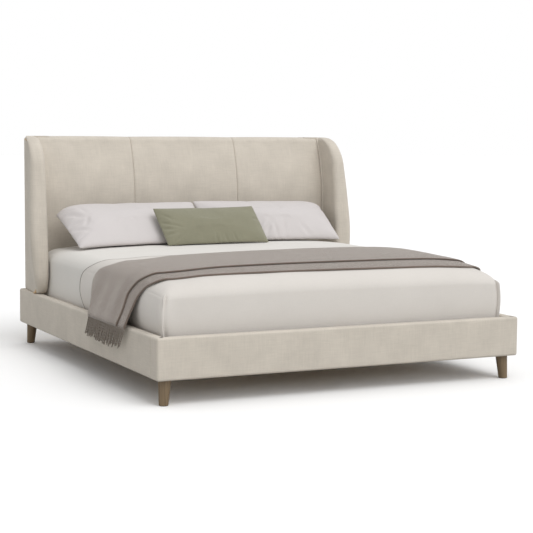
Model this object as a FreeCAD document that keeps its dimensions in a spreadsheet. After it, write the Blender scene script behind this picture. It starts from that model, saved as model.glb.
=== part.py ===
import FreeCAD, Part
import Sketcher

# Upholstered king-size bed: padded rails on tapered oak legs, a winged headboard, slats on a
# centre beam with screw-adjusted support legs, a mattress and its bedding.
# +X is to the right seen from the foot, +Y towards the headboard, +Z up, in millimetres.
# The origin is on the floor, under the middle of the bed.

import math
import os

Vector = FreeCAD.Vector
doc = FreeCAD.newDocument("upholstered_bed")

# Driving dimensions ---------------------------------------------------------------------------

SIZES = {
    "bed_width": 2080,
    "bed_length": 2340,
    "rail_bottom": 127,
    "rail_height": 210,
    "rail_thickness": 50,
    "padding": 12,
    "edge_radius": 11,
    "corner_wrap": 94,
    "fit_gap": 0.3,
    "headboard_height": 1281,
    "headboard_face": 960,
    "face_board": 15,
    "panel_padding": 85,
    "back_board": 18,
    "back_lift": 2,
    "back_trim": 38,
    "frame_rail_height": 60,
    "top_rail_height": 65,
    "bottom_rail_lift": 8,
    "middle_rail_lift": 380,
    "frame_top_gap": 66,
    "panel_tuck": 14,
    "post_width": 50,
    "post_depth": 56,
    "post_setback": 78,
    "packer_width": 15,
    "packer_height": 84,
    "packer_drop": 45,
    "post_bolt_low": 145,
    "post_bolt_high": 180,
    "crossbar_depth": 36,
    "crossbar_height": 150,
    "crossbar_lift": 15,
    "crossbar_setback": 30,
    "panel_seam": 353,
    "wing_seam": 930,
    "wing_inner": 978,
    "wing_outer": 1058,
    "mattress_width": 1930,
    "mattress_length": 2030,
    "mattress_height": 305,
    "mattress_recess": 27,
    "mattress_foot": 95,
    "leg_top_diameter": 64,
    "leg_foot_diameter": 47,
    "leg_inset": 62,
    "leg_splay": 8,
    "felt_height": 3,
    "felt_margin": 3,
    "leg_bolt_below": 60,
    "leg_bolt_length": 130,
    "leg_bore_depth": 62,
    "block_size": 90,
    "block_height": 120,
    "ledger_width": 27,
    "ledger_height": 40,
    "slat_count": 16,
    "slat_width": 70,
    "slat_thickness": 17,
    "slat_end_gap": 3,
    "first_slat": 90,
    "last_slat": 45,
    "webbing_width": 30,
    "webbing_thickness": 1.5,
    "webbing_tail": 25,
    "ledger_end_gap": 5,
    "bracket_arm": 40,
    "bracket_gauge": 3,
    "bracket_height": 30,
    "hanger_gauge": 2.5,
    "hanger_lip": 45,
    "hanger_reach": 55,
    "hanger_ear": 20,
    "beam_end_gap": 1,
    "beam_width": 60,
    "beam_height": 70,
    "tube_diameter": 32,
    "tube_wall": 2,
    "flange_radius": 30,
    "flange_thickness": 3,
    "stem_diameter": 8,
    "stem_clearance": 0.05,
    "bush_bottom": 22,
    "bush_height": 26,
    "pad_diameter": 42,
    "pad_height": 10,
    "pad_rim": 3,
    "socket_depth": 6,
    "screw_length": 66,
    "screw_floor": 4.5,
    "collar_gap": 0.5,
    "collar_height": 5,
    "collar_flats": 13,
    "centre_leg_pitch": 560,
    "centre_leg_shift": 180,
    "bolt_diameter": 8,
    "bolt_clearance": 0.3,
    "sheet_thickness": 2,
    "coverlet_thickness": 3,
    "throw_thickness": 4,
    "throw_head": 140,
    "throw_foot": 970,
    "fringe_length": 118,
}

sheet = doc.addObject("Spreadsheet::Sheet", "sizes")
for row, (alias, value) in enumerate(SIZES.items(), start=1):
    sheet.set(f"A{row}", alias)
    sheet.set(f"B{row}", str(value))
    sheet.setAlias(f"B{row}", alias)
doc.recompute()


def size(alias):
    """A driving dimension, read back from the spreadsheet."""
    return float(sheet.get(alias))


# Heights and faces that many pieces share, as formulas of the driving dimensions.
RAIL_TOP = "(sizes.rail_bottom + sizes.rail_height)"
RAIL_INNER = "(sizes.bed_width / 2 - sizes.rail_thickness)"
FOOT_INNER = "(sizes.bed_length / 2 - sizes.rail_thickness)"
SLAT_TOP = f"({RAIL_TOP} - sizes.mattress_recess)"
LEDGER_TOP = f"({SLAT_TOP} - sizes.slat_thickness)"
BEAM_BOTTOM = f"({LEDGER_TOP} - sizes.beam_height)"
BACK = "(sizes.bed_length / 2)"

half_width = size("bed_width") / 2
half_length = size("bed_length") / 2
rail_top = size("rail_bottom") + size("rail_height")
rail_inner = half_width - size("rail_thickness")
slat_top = rail_top - size("mattress_recess")
beam_bottom = slat_top - size("slat_thickness") - size("beam_height")
gap = size("fit_gap")
SIDES = (("left", -1), ("right", 1))
ENDS = (("front", -1), ("rear", 1))

parts = []


# Ways of making a piece -----------------------------------------------------------------------


def keep(piece, label):
    """Name a finished piece and put it on the list that is written out."""
    piece.Label = label
    parts.append(piece)
    return piece


def block(name, centre, extent):
    """A box whose centre and size are formulas of the spreadsheet."""
    box = doc.addObject("Part::Box", name)
    for prop, axis, middle, length in zip(("Length", "Width", "Height"), "xyz", centre, extent):
        box.setExpression(prop, f"{length}")
        box.setExpression(f"Placement.Base.{axis}", f"{middle} - ({length}) / 2")
    return box


def rod(name, base, diameter, length, direction=Vector(0, 0, 1)):
    """A round bar from its base point along a direction."""
    bar = doc.addObject("Part::Cylinder", name)
    bar.Placement.Rotation = FreeCAD.Rotation(Vector(0, 0, 1), direction)
    bar.setExpression("Radius", f"({diameter}) / 2")
    bar.setExpression("Height", f"{length}")
    for axis, start in zip("xyz", base):
        bar.setExpression(f"Placement.Base.{axis}", f"{start}")
    return bar


def group(name, members):
    """Several like solids kept as one piece."""
    bundle = doc.addObject("Part::Compound", name)
    bundle.Links = members
    return bundle


def bored(name, base, tools):
    """A piece with holes drilled by the given tools."""
    cut = doc.addObject("Part::Cut", name)
    cut.Base = base
    cut.Tool = tools[0] if len(tools) == 1 else group(f"{name}_tools", tools)
    return cut


def body_for(name):
    return doc.addObject("PartDesign::Body", name)


def sketch_in(body, name, role, offset="0"):
    """A sketch on one of the body's own origin planes, moved out along the plane's normal."""
    plane = next(item for item in body.Origin.OriginFeatures if item.Role == role)
    sketch = body.newObject("Sketcher::SketchObject", name)
    sketch.AttachmentSupport = [(plane, "")]
    sketch.MapMode = "FlatFace"
    sketch.setExpression("AttachmentOffset.Base.z", offset)
    return sketch


def outline(sketch, corners):
    """A closed outline of straight lines, with every corner held by formulas of the sheet."""
    doc.recompute()
    scratch = [Vector(10 * index + 1, 7 * index * index + 1, 0) for index in range(len(corners))]
    first = sketch.GeometryCount
    for index in range(len(corners)):
        line = Part.LineSegment(scratch[index], scratch[(index + 1) % len(corners)])
        sketch.addGeometry(line, False)
    for index in range(len(corners)):
        follower = (index + 1) % len(corners)
        sketch.addConstraint(Sketcher.Constraint("Coincident", first + index, 2, first + follower, 1))
    for index, corner in enumerate(corners):
        for kind, formula in zip(("DistanceX", "DistanceY"), corner):
            held = Sketcher.Constraint(kind, -1, 1, first + index, 1, scratch[index][kind == "DistanceY"])
            number = sketch.addConstraint(held)
            sketch.setExpression(f"Constraints[{number}]", formula)


def ring(sketch, centre, diameter):
    """A circle with its centre and diameter held by formulas of the sheet."""
    doc.recompute()
    circle = sketch.addGeometry(Part.Circle(Vector(5, 5, 0), Vector(0, 0, 1), 3), False)
    for kind, formula in zip(("DistanceX", "DistanceY"), centre):
        number = sketch.addConstraint(Sketcher.Constraint(kind, -1, 1, circle, 3, 5))
        sketch.setExpression(f"Constraints[{number}]", formula)
    number = sketch.addConstraint(Sketcher.Constraint("Diameter", circle, 6))
    sketch.setExpression(f"Constraints[{number}]", diameter)


def pad(body, sketch, name, length, both_ways=False, reverse=False):
    feature = body.newObject("PartDesign::Pad", name)
    feature.Profile = sketch
    feature.setExpression("Length", length)
    feature.Midplane = both_ways
    feature.Reversed = reverse
    return feature


def pocket(body, sketch, name, depth=None, both_ways=False, reverse=False):
    """A pocket that has to remove material: of a given depth, or right through."""
    doc.recompute()
    before = body.Shape.Volume
    feature = body.newObject("PartDesign::Pocket", name)
    feature.Profile = sketch
    if depth is None:
        feature.Type = "ThroughAll"
    else:
        feature.setExpression("Length", depth)
    feature.Midplane = both_ways
    feature.Reversed = reverse
    doc.recompute()
    if body.Shape.Volume > before - 1:
        raise RuntimeError(f"{name} in {body.Name} cuts nothing")
    return feature


def rounded(body, name, radius, chosen):
    """Fillet the edges of the body's tip that the test picks."""
    doc.recompute()
    tip = body.Tip
    edges = [f"Edge{i}" for i, edge in enumerate(tip.Shape.Edges, start=1) if chosen(edge.BoundBox)]
    fillet = body.newObject("PartDesign::Fillet", name)
    fillet.Base = (tip, edges)
    fillet.setExpression("Radius", radius)
    return fillet


def turned(body, sketch, name):
    feature = body.newObject("PartDesign::Revolution", name)
    feature.Profile = sketch
    feature.ReferenceAxis = (sketch, ["V_Axis"])
    feature.Angle = 360
    return feature


def free_form(label, shape):
    """A piece whose shape is worked out here because no sketch or primitive gives it."""
    feature = doc.addObject("Part::Feature", label)
    feature.Shape = shape
    return keep(feature, label)


def solid_box(low, high):
    return Part.makeBox(*[b - a for a, b in zip(low, high)], Vector(*low))


# Bolt holes -----------------------------------------------------------------------------------
# The rear posts bolt through a packer into each side rail; the legs screw into corner blocks.

post_y = f"({BACK} - sizes.post_setback)"
POST_BOLT_HEIGHTS = ("(sizes.rail_bottom + sizes.post_bolt_low)",
                     "(sizes.rail_bottom + sizes.post_bolt_high)")
POST_BOLT_REACH = "(sizes.post_width + sizes.packer_width + sizes.rail_thickness - sizes.padding)"
post_outer = f"({RAIL_INNER} - sizes.packer_width)"


def post_bolt_rods(name, side, play):
    """Two bars through post, packer and rail, with the given play on the bolt's diameter."""
    start = f"{side} * ({post_outer} - sizes.post_width)"
    return [
        rod(f"{name}_{index}", (start, post_y, height), f"sizes.bolt_diameter + {play}",
            POST_BOLT_REACH, Vector(side, 0, 0))
        for index, height in enumerate(POST_BOLT_HEIGHTS)
    ]


def leg_axis(side, end):
    """Where a leg's bolt stands: on the axis of the leg's upper end."""
    x = f"{side} * (sizes.bed_width / 2 - sizes.leg_inset)"
    y = f"{end} * (sizes.bed_length / 2 - sizes.leg_inset)"
    return x, y


def leg_bolt_rods(name, side, end, play):
    x, y = leg_axis(side, end)
    return [rod(name, (x, y, "sizes.rail_bottom - sizes.leg_bolt_below"),
                f"sizes.bolt_diameter + {play}", "sizes.leg_bolt_length")]


# Rails ----------------------------------------------------------------------------------------
# Each rail is a softwood core inside a padded cover. The foot cover wraps both front corners and
# meets the side covers at an upright seam.

core_thickness = "(sizes.rail_thickness - 2 * sizes.padding)"
core_height = "(sizes.rail_height - 2 * sizes.padding)"
core_middle = "(sizes.rail_bottom + sizes.rail_height / 2)"
side_start = "(-sizes.bed_length / 2 + sizes.padding + " + core_thickness + ")"

for side_name, side in SIDES:
    centre_x = f"{side} * (sizes.bed_width / 2 - sizes.rail_thickness / 2)"
    length = f"({BACK} - 2 - {side_start})"
    core = block(f"rail_core_{side_name}", (centre_x, f"{side_start} + {length} / 2", core_middle),
                 (core_thickness, length, core_height))
    holes = post_bolt_rods(f"core_bore_{side_name}", side, "sizes.bolt_clearance")
    keep(bored(f"drilled_core_{side_name}", core, holes), f"side_rail_core_{side_name}")

    cover = body_for(f"rail_cover_{side_name}")
    section = sketch_in(cover, f"cover_section_{side_name}", "XZ_Plane")
    near = f"{side} * {RAIL_INNER}"
    far = f"{side} * sizes.bed_width / 2"
    outline(section, [(near, "sizes.rail_bottom"), (far, "sizes.rail_bottom"),
                      (far, RAIL_TOP), (near, RAIL_TOP)])
    section.setExpression("AttachmentOffset.Base.z",
                          "sizes.bed_length / 2 - sizes.corner_wrap - sizes.fit_gap")
    pad(cover, section, f"cover_length_{side_name}",
        "sizes.bed_length - sizes.corner_wrap - sizes.fit_gap", reverse=True)
    rounded(cover, f"cover_edges_{side_name}", "sizes.edge_radius",
            lambda box: box.YLength > 1000 and abs(box.XMin) > half_width - 1)
    hollow = sketch_in(cover, f"cover_hollow_{side_name}", "XZ_Plane")
    near = f"{side} * ({RAIL_INNER} + sizes.padding - sizes.fit_gap)"
    far = f"{side} * (sizes.bed_width / 2 - sizes.padding + sizes.fit_gap)"
    low = "sizes.rail_bottom + sizes.padding - sizes.fit_gap"
    high = f"{RAIL_TOP} - sizes.padding + sizes.fit_gap"
    outline(hollow, [(near, low), (far, low), (far, high), (near, high)])
    pocket(cover, hollow, f"cover_inside_{side_name}", both_ways=True)
    bores = post_bolt_rods(f"cover_bore_{side_name}", side, "sizes.bolt_clearance")
    keep(bored(f"drilled_cover_{side_name}", cover, bores), f"side_rail_cover_{side_name}")

foot_thickness = f"({core_thickness} - sizes.fit_gap)"
foot_centre = f"(-{BACK} + sizes.padding + {foot_thickness} / 2)"
foot_core = block("foot_core", ("0", foot_centre, core_middle),
                  ("sizes.bed_width - 2 * sizes.padding", foot_thickness, core_height))
keep(foot_core, "foot_rail_core")

foot_cover = body_for("foot_cover")
plan = sketch_in(foot_cover, "foot_cover_plan", "XY_Plane", "sizes.rail_bottom")
outer_x = "sizes.bed_width / 2"
front_y = "-sizes.bed_length / 2"
wrap_y = "-(sizes.bed_length / 2 - sizes.corner_wrap)"
outline(plan, [
    (f"-{outer_x}", front_y), (outer_x, front_y), (outer_x, wrap_y), (RAIL_INNER, wrap_y),
    (RAIL_INNER, f"-{FOOT_INNER}"), (f"-{RAIL_INNER}", f"-{FOOT_INNER}"),
    (f"-{RAIL_INNER}", wrap_y), (f"-{outer_x}", wrap_y),
])
pad(foot_cover, plan, "foot_cover_height", "sizes.rail_height")
rounded(foot_cover, "foot_cover_edges", "sizes.edge_radius",
        lambda box: (abs(box.YMax + half_length) < 1 or abs(box.XMin) > half_width - 1
                     or abs(box.XMax) > half_width - 1 and box.XLength < 1)
        and not (box.ZLength > 100 and box.YMax > -half_length + 10))
hollow = sketch_in(foot_cover, "foot_cover_hollow", "XY_Plane",
                   "sizes.rail_bottom + sizes.padding - sizes.fit_gap")
hollow_x = "(sizes.bed_width / 2 - sizes.padding + sizes.fit_gap)"
hollow_in = f"({RAIL_INNER} + sizes.padding - sizes.fit_gap)"
hollow_front = "-(sizes.bed_length / 2 - sizes.padding + sizes.fit_gap)"
hollow_back = f"-({FOOT_INNER} + sizes.padding - sizes.fit_gap)"
outline(hollow, [
    (f"-{hollow_x}", hollow_front), (hollow_x, hollow_front), (hollow_x, f"{wrap_y} + 1"),
    (hollow_in, f"{wrap_y} + 1"), (hollow_in, hollow_back), (f"-{hollow_in}", hollow_back),
    (f"-{hollow_in}", f"{wrap_y} + 1"), (f"-{hollow_x}", f"{wrap_y} + 1"),
])
pocket(foot_cover, hollow, "foot_cover_inside", f"{core_height} + 2 * sizes.fit_gap", reverse=True)
keep(foot_cover, "foot_rail_cover")

crossbar_y = f"({BACK} - sizes.crossbar_setback)"
crossbar_z = "sizes.rail_bottom + sizes.crossbar_lift + sizes.crossbar_height / 2"
crossbar = block("crossbar", ("0", crossbar_y, crossbar_z),
                 (f"2 * ({RAIL_INNER} - sizes.fit_gap)", "sizes.crossbar_depth",
                  "sizes.crossbar_height"))
keep(crossbar, "head_crossbar")

# Legs -----------------------------------------------------------------------------------------
# Turned oak legs, tapered and splayed a little outwards, each on a felt glide and screwed into a
# corner block by a bolt along the axis of its upper end.

for end_name, end in ENDS:
    for side_name, side in SIDES:
        tag = f"{end_name}_{side_name}"
        x, y = leg_axis(side, end)
        leg = body_for(f"leg_body_{tag}")
        foot_circle = sketch_in(leg, f"leg_foot_{tag}", "XY_Plane", "sizes.felt_height")
        ring(foot_circle, (f"{x} + {side} * sizes.leg_splay", f"{y} + {end} * sizes.leg_splay"),
             "sizes.leg_foot_diameter")
        top_circle = sketch_in(leg, f"leg_top_{tag}", "XY_Plane", "sizes.rail_bottom")
        ring(top_circle, (x, y), "sizes.leg_top_diameter")
        loft = leg.newObject("PartDesign::AdditiveLoft", f"leg_taper_{tag}")
        loft.Profile = foot_circle
        loft.Sections = [top_circle]
        bore = sketch_in(leg, f"leg_bore_{tag}", "XY_Plane", "sizes.rail_bottom")
        ring(bore, (x, y), "sizes.bolt_diameter + sizes.bolt_clearance")
        pocket(leg, bore, f"leg_hole_{tag}", "sizes.leg_bore_depth")
        keep(leg, f"leg_{tag}")

felt = []
bolts = []
blocks = []
for end_name, end in ENDS:
    for side_name, side in SIDES:
        tag = f"{end_name}_{side_name}"
        x, y = leg_axis(side, end)
        felt.append(rod(f"felt_{tag}", (f"{x} + {side} * sizes.leg_splay",
                                       f"{y} + {end} * sizes.leg_splay", "0"),
                        "sizes.leg_foot_diameter - 2 * sizes.felt_margin", "sizes.felt_height"))
        bolts += leg_bolt_rods(f"leg_bolt_{tag}", side, end, "0")
        reach = f"({FOOT_INNER} - sizes.fit_gap - sizes.block_size / 2)"
        if end > 0:
            reach = f"({crossbar_y} - sizes.crossbar_depth / 2 - sizes.fit_gap - sizes.block_size / 2)"
        corner = block(f"block_{tag}",
                       (f"{side} * ({RAIL_INNER} - sizes.fit_gap - sizes.block_size / 2)",
                        f"{end} * {reach}", "sizes.rail_bottom + sizes.block_height / 2"),
                       ("sizes.block_size", "sizes.block_size", "sizes.block_height"))
        blocks.append(bored(f"bored_block_{tag}", corner,
                            leg_bolt_rods(f"block_bore_{tag}", side, end, "sizes.bolt_clearance")))
keep(group("felt_set", felt), "felt_glides")
keep(group("leg_bolt_set", bolts), "leg_bolts")
keep(group("block_set", blocks), "corner_blocks")

# Bed base -------------------------------------------------------------------------------------
# Ledgers inside the side rails and a beam down the middle carry the slats. Steel corner brackets
# hold the foot rail to the side rails, and folded hangers hold the beam's two ends.

ledger_start = f"-({FOOT_INNER} - sizes.corner_wrap / 2 - sizes.ledger_end_gap)"
ledger_end = f"({post_y} - sizes.post_depth / 2 - sizes.ledger_end_gap)"
for side_name, side in SIDES:
    ledger = block(f"ledger_{side_name}",
                   (f"{side} * ({RAIL_INNER} - sizes.fit_gap - sizes.ledger_width / 2)",
                    f"({ledger_start} + {ledger_end}) / 2", f"{LEDGER_TOP} - sizes.ledger_height / 2"),
                   ("sizes.ledger_width", f"{ledger_end} - {ledger_start}", "sizes.ledger_height"))
    keep(ledger, f"slat_ledger_{side_name}")

bracket_arm = "sizes.bracket_arm"
bracket_gauge = "sizes.bracket_gauge"
BRACKET_LIFT = 4
brackets = []
for side_name, side in SIDES:
    corner_x = f"({RAIL_INNER} - sizes.fit_gap)"
    corner_y = f"({FOOT_INNER} - sizes.fit_gap)"
    middle = f"({SLAT_TOP} + {BRACKET_LIFT})"
    along_side = block(f"bracket_side_{side_name}",
                       (f"{side} * ({corner_x} - {bracket_gauge} / 2)",
                        f"-({corner_y} - {bracket_arm} / 2)", middle),
                       (bracket_gauge, bracket_arm, "sizes.bracket_height"))
    along_foot = block(f"bracket_foot_{side_name}",
                       (f"{side} * ({corner_x} - {bracket_arm} / 2)",
                        f"-({corner_y} - {bracket_gauge} / 2)", middle),
                       (bracket_arm, bracket_gauge, "sizes.bracket_height"))
    angle = doc.addObject("Part::Fuse", f"bracket_{side_name}")
    angle.Base = along_side
    angle.Tool = along_foot
    brackets.append(angle)
keep(group("bracket_set", brackets), "corner_brackets")

slats = []
slat_from = f"(-{FOOT_INNER} + sizes.first_slat)"
mattress_end = "(-sizes.bed_length / 2 + sizes.mattress_foot + sizes.mattress_length)"
slat_to = f"({mattress_end} - sizes.last_slat)"
slat_pitch = f"(({slat_to} - {slat_from}) / (sizes.slat_count - 1))"
for index in range(int(size("slat_count"))):
    slats.append(block(f"slat_{index + 1}",
                       ("0", f"{slat_from} + {index} * {slat_pitch}",
                        f"{SLAT_TOP} - sizes.slat_thickness / 2"),
                       (f"2 * ({RAIL_INNER} - sizes.slat_end_gap)", "sizes.slat_width",
                        "sizes.slat_thickness")))
keep(group("slat_set", slats), "slats")

straps = [
    block(f"strap_{side_name}",
          (f"{side} * sizes.bed_width / 4", f"({slat_from} + {slat_to}) / 2",
           f"{LEDGER_TOP} - 2 * sizes.fit_gap - sizes.webbing_thickness / 2"),
          ("sizes.webbing_width", f"{slat_to} + 2 * sizes.webbing_tail - {slat_from}",
           "sizes.webbing_thickness"))
    for side_name, side in SIDES
]
keep(group("strap_set", straps), "slat_webbing")

hanger_gauge = "sizes.hanger_gauge"
beam_end = f"(sizes.fit_gap + {hanger_gauge} + sizes.beam_end_gap)"
beam_front = f"(-{FOOT_INNER} + {beam_end})"
beam_back = f"({crossbar_y} - sizes.crossbar_depth / 2 - {beam_end})"
beam = block("beam", ("0", f"({beam_front} + {beam_back}) / 2",
                      f"{LEDGER_TOP} - sizes.beam_height / 2 - sizes.fit_gap"),
             ("sizes.beam_width", f"{beam_back} - {beam_front}",
              "sizes.beam_height - sizes.fit_gap"))
keep(beam, "centre_beam")

for end_name, end, face in (("foot", 1, f"(-{FOOT_INNER} + sizes.fit_gap)"),
                            ("head", -1, f"({beam_back} + {hanger_gauge} + sizes.beam_end_gap)")):
    hanger = body_for(f"hanger_{end_name}")
    channel = sketch_in(hanger, f"hanger_channel_{end_name}", "XZ_Plane", f"-({face})")
    inner_x = "(sizes.beam_width / 2 + sizes.fit_gap)"
    outer_x = f"({inner_x} + {hanger_gauge})"
    floor_z = f"({BEAM_BOTTOM} - 2 * sizes.fit_gap)"
    lip_z = f"({BEAM_BOTTOM} + sizes.hanger_lip)"
    outline(channel, [
        (f"-{outer_x}", f"{floor_z} - {hanger_gauge}"), (outer_x, f"{floor_z} - {hanger_gauge}"),
        (outer_x, lip_z), (inner_x, lip_z), (inner_x, floor_z), (f"-{inner_x}", floor_z),
        (f"-{inner_x}", lip_z), (f"-{outer_x}", lip_z),
    ])
    pad(hanger, channel, f"hanger_fold_{end_name}", "sizes.hanger_reach", reverse=end > 0)
    plate = sketch_in(hanger, f"hanger_plate_{end_name}", "XZ_Plane", f"-({face})")
    plate_x = f"({outer_x} + sizes.hanger_ear)"
    outline(plate, [
        (f"-{plate_x}", f"{floor_z} - {hanger_gauge}"), (plate_x, f"{floor_z} - {hanger_gauge}"),
        (plate_x, lip_z), (f"-{plate_x}", lip_z),
    ])
    pad(hanger, plate, f"hanger_back_{end_name}", hanger_gauge, reverse=end > 0)
    keep(hanger, f"beam_hanger_{end_name}")

# Centre support legs --------------------------------------------------------------------------
# A steel tube with a welded top flange and a threaded bush in its foot. The screw turns in the
# bush and in the socket of its floor pad, and carries the pad up or down by its thread's pitch.

bush_bore = "(sizes.stem_diameter / 2 + sizes.stem_clearance)"
for index in (1, 2, 3):
    leg_y = f"({index} - 2) * sizes.centre_leg_pitch + sizes.centre_leg_shift"
    tube = body_for(f"support_{index}")
    tube.setExpression("Placement.Base.y", leg_y)
    profile = sketch_in(tube, f"support_profile_{index}", "XZ_Plane")
    outside = "(sizes.tube_diameter / 2)"
    inside = f"({outside} - sizes.tube_wall)"
    flange_top = f"({BEAM_BOTTOM} - sizes.fit_gap)"
    flange_under = f"({flange_top} - sizes.flange_thickness)"
    bush_top = "(sizes.bush_bottom + sizes.bush_height)"
    outline(profile, [
        (bush_bore, "sizes.bush_bottom"), (outside, "sizes.bush_bottom"), (outside, flange_under),
        ("sizes.flange_radius", flange_under), ("sizes.flange_radius", flange_top),
        ("0", flange_top), ("0", flange_under),
        (inside, flange_under), (inside, bush_top), (bush_bore, bush_top),
    ])
    turned(tube, profile, f"support_turn_{index}")
    keep(tube, f"centre_leg_{index}")

    screw = body_for(f"screw_{index}")
    screw.setExpression("Placement.Base.y", leg_y)
    shank = sketch_in(screw, f"screw_shank_{index}", "XY_Plane", "sizes.screw_floor")
    ring(shank, ("0", "0"), "sizes.stem_diameter")
    pad(screw, shank, f"screw_length_{index}", "sizes.screw_length")
    collar = sketch_in(screw, f"screw_collar_{index}", "XY_Plane",
                       "sizes.pad_height + sizes.collar_gap")
    flat = "(sizes.collar_flats / 2)"
    corner = f"({flat} / sqrt(3))"
    outline(collar, [(flat, f"-{corner}"), (flat, corner), ("0", f"2 * {corner}"),
                     (f"-{flat}", corner), (f"-{flat}", f"-{corner}"), ("0", f"-2 * {corner}")])
    pad(screw, collar, f"screw_hexagon_{index}", "sizes.collar_height")
    keep(screw, f"leveller_screw_{index}")

    foot = body_for(f"foot_{index}")
    foot.setExpression("Placement.Base.y", leg_y)
    disc = sketch_in(foot, f"foot_disc_{index}", "XY_Plane")
    ring(disc, ("0", "0"), "sizes.pad_diameter")
    pad(foot, disc, f"foot_height_{index}", "sizes.pad_height")
    rounded(foot, f"foot_rim_{index}", "sizes.pad_rim", lambda box: box.ZMin > size("pad_height") - 1)
    socket = sketch_in(foot, f"foot_socket_{index}", "XY_Plane", "sizes.pad_height")
    ring(socket, ("0", "0"), f"2 * {bush_bore}")
    pocket(foot, socket, f"foot_hollow_{index}", "sizes.socket_depth")
    keep(foot, f"leveller_pad_{index}")

# Headboard ------------------------------------------------------------------------------------
# Two posts stand on the rear corner blocks. Three rails and a face board span between the wings,
# three padded panels cover the front and top, and a covered board closes the back.

face_y = size("headboard_face")
back_y = half_length
top_z = size("headboard_height")
pad_back = face_y + size("panel_padding")
CURVE_FROM = 900
CURVE_SPAN = 370
CURVE_LEAN = 85
CREST_HEIGHT = 26
CREST_DEPTH = 52
BACK_ROLL = 3
WING_WALL = 50

for side_name, side in SIDES:
    post_bottom = "(sizes.rail_bottom + sizes.block_height + sizes.fit_gap)"
    post_top = "(sizes.headboard_height - sizes.frame_top_gap)"
    post = block(f"post_{side_name}",
                 (f"{side} * ({post_outer} - sizes.post_width / 2)", post_y,
                  f"({post_bottom} + {post_top}) / 2"),
                 ("sizes.post_width", "sizes.post_depth", f"{post_top} - {post_bottom}"))
    bores = post_bolt_rods(f"post_bore_{side_name}", side, "sizes.bolt_clearance")
    keep(bored(f"drilled_post_{side_name}", post, bores), f"headboard_post_{side_name}")

packers = []
post_bolts = []
for side_name, side in SIDES:
    packer = block(f"packer_block_{side_name}",
                   (f"{side} * ({RAIL_INNER} - sizes.packer_width / 2)", post_y,
                    f"{RAIL_TOP} - sizes.packer_drop"),
                   ("sizes.packer_width - 2 * sizes.fit_gap", "sizes.post_depth",
                    "sizes.packer_height"))
    packers.append(bored(f"packer_{side_name}", packer,
                         post_bolt_rods(f"packer_bore_{side_name}", side, "sizes.bolt_clearance")))
    post_bolts += post_bolt_rods(f"post_bolt_{side_name}", side, "0")
keep(group("packer_set", packers), "post_packers")
keep(group("post_bolt_set", post_bolts), "post_bolts")

board_front = "(sizes.headboard_face + sizes.panel_padding + sizes.fit_gap)"
rail_front = f"({board_front} + sizes.face_board + sizes.fit_gap)"
rail_back = f"({BACK} - sizes.back_board - sizes.fit_gap)"
rail_half = f"(sizes.wing_seam - {WING_WALL} - sizes.fit_gap)"
frame_top = "(sizes.headboard_height - sizes.frame_top_gap)"
for name, low, height in (
        ("bottom", f"({RAIL_TOP} + sizes.bottom_rail_lift)", "sizes.frame_rail_height"),
        ("middle", f"({RAIL_TOP} + sizes.middle_rail_lift)", "sizes.frame_rail_height"),
        ("top", f"({frame_top} - sizes.top_rail_height)", "sizes.top_rail_height")):
    rail = block(f"frame_rail_{name}",
                 ("0", f"({rail_front} + {rail_back}) / 2", f"{low} + {height} / 2"),
                 (f"2 * {rail_half}", f"{rail_back} - {rail_front}", height))
    keep(rail, f"headboard_{name}_rail")

board_y = f"({board_front} + sizes.face_board / 2)"
board_low = f"({SLAT_TOP} - sizes.panel_tuck)"
board = block("board", ("0", board_y, f"({board_low} + {frame_top}) / 2"),
              (f"2 * {rail_half}", "sizes.face_board", f"{frame_top} - {board_low}"))
keep(board, "headboard_face_board")

back_board = body_for("back_board")
back_plan = sketch_in(back_board, "back_plan", "XY_Plane", f"{RAIL_TOP} + sizes.back_lift")
back_front = f"({BACK} - sizes.back_board)"
outline(back_plan, [(f"-{rail_half}", back_front), (rail_half, back_front),
                    (rail_half, BACK), (f"-{rail_half}", BACK)])
pad(back_board, back_plan, "back_height",
    f"sizes.headboard_height - {RAIL_TOP} - sizes.back_lift - sizes.back_trim")
keep(back_board, "headboard_back_panel")


def panel_front(height):
    """How far forward a panel's face is at a height: upright, then leaning back to the top."""
    rise = max(0, height - CURVE_FROM) / CURVE_SPAN
    return face_y + CURVE_LEAN * rise ** 2


def panel(low_x, high_x):
    """A padded panel: its upholstered face, rolled over the top to the back board."""
    bottom = slat_top - size("panel_tuck")
    crest_from = top_z - CREST_HEIGHT
    face = [Vector(low_x, panel_front(z), z) for z in (CURVE_FROM, 1000, 1100, 1200, crest_from)]
    curve = Part.BSplineCurve()
    curve.interpolate(face)
    crest = Part.Arc(face[-1],
                     Vector(low_x, face[-1].y + 0.44 * CREST_DEPTH, top_z - 0.265 * CREST_HEIGHT),
                     Vector(low_x, face[-1].y + CREST_DEPTH, top_z))
    lip = top_z - size("back_trim") + 1
    inside = top_z - size("frame_top_gap") + 1
    board = back_y - size("back_board") - gap
    rest = [(back_y - 24, top_z), (back_y - BACK_ROLL, top_z - 20), (back_y - BACK_ROLL, lip),
            (board, lip), (board, inside), (pad_back, inside), (pad_back, bottom), (face_y, bottom)]
    corners = [crest.EndPoint] + [Vector(low_x, y, z) for y, z in rest] + [face[0]]
    runs = [Part.LineSegment(a, b).toShape() for a, b in zip(corners, corners[1:])]
    wire = Part.Wire([curve.toShape(), crest.toShape()] + runs)
    return Part.Face(wire).extrude(Vector(high_x - low_x, 0, 0))


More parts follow.
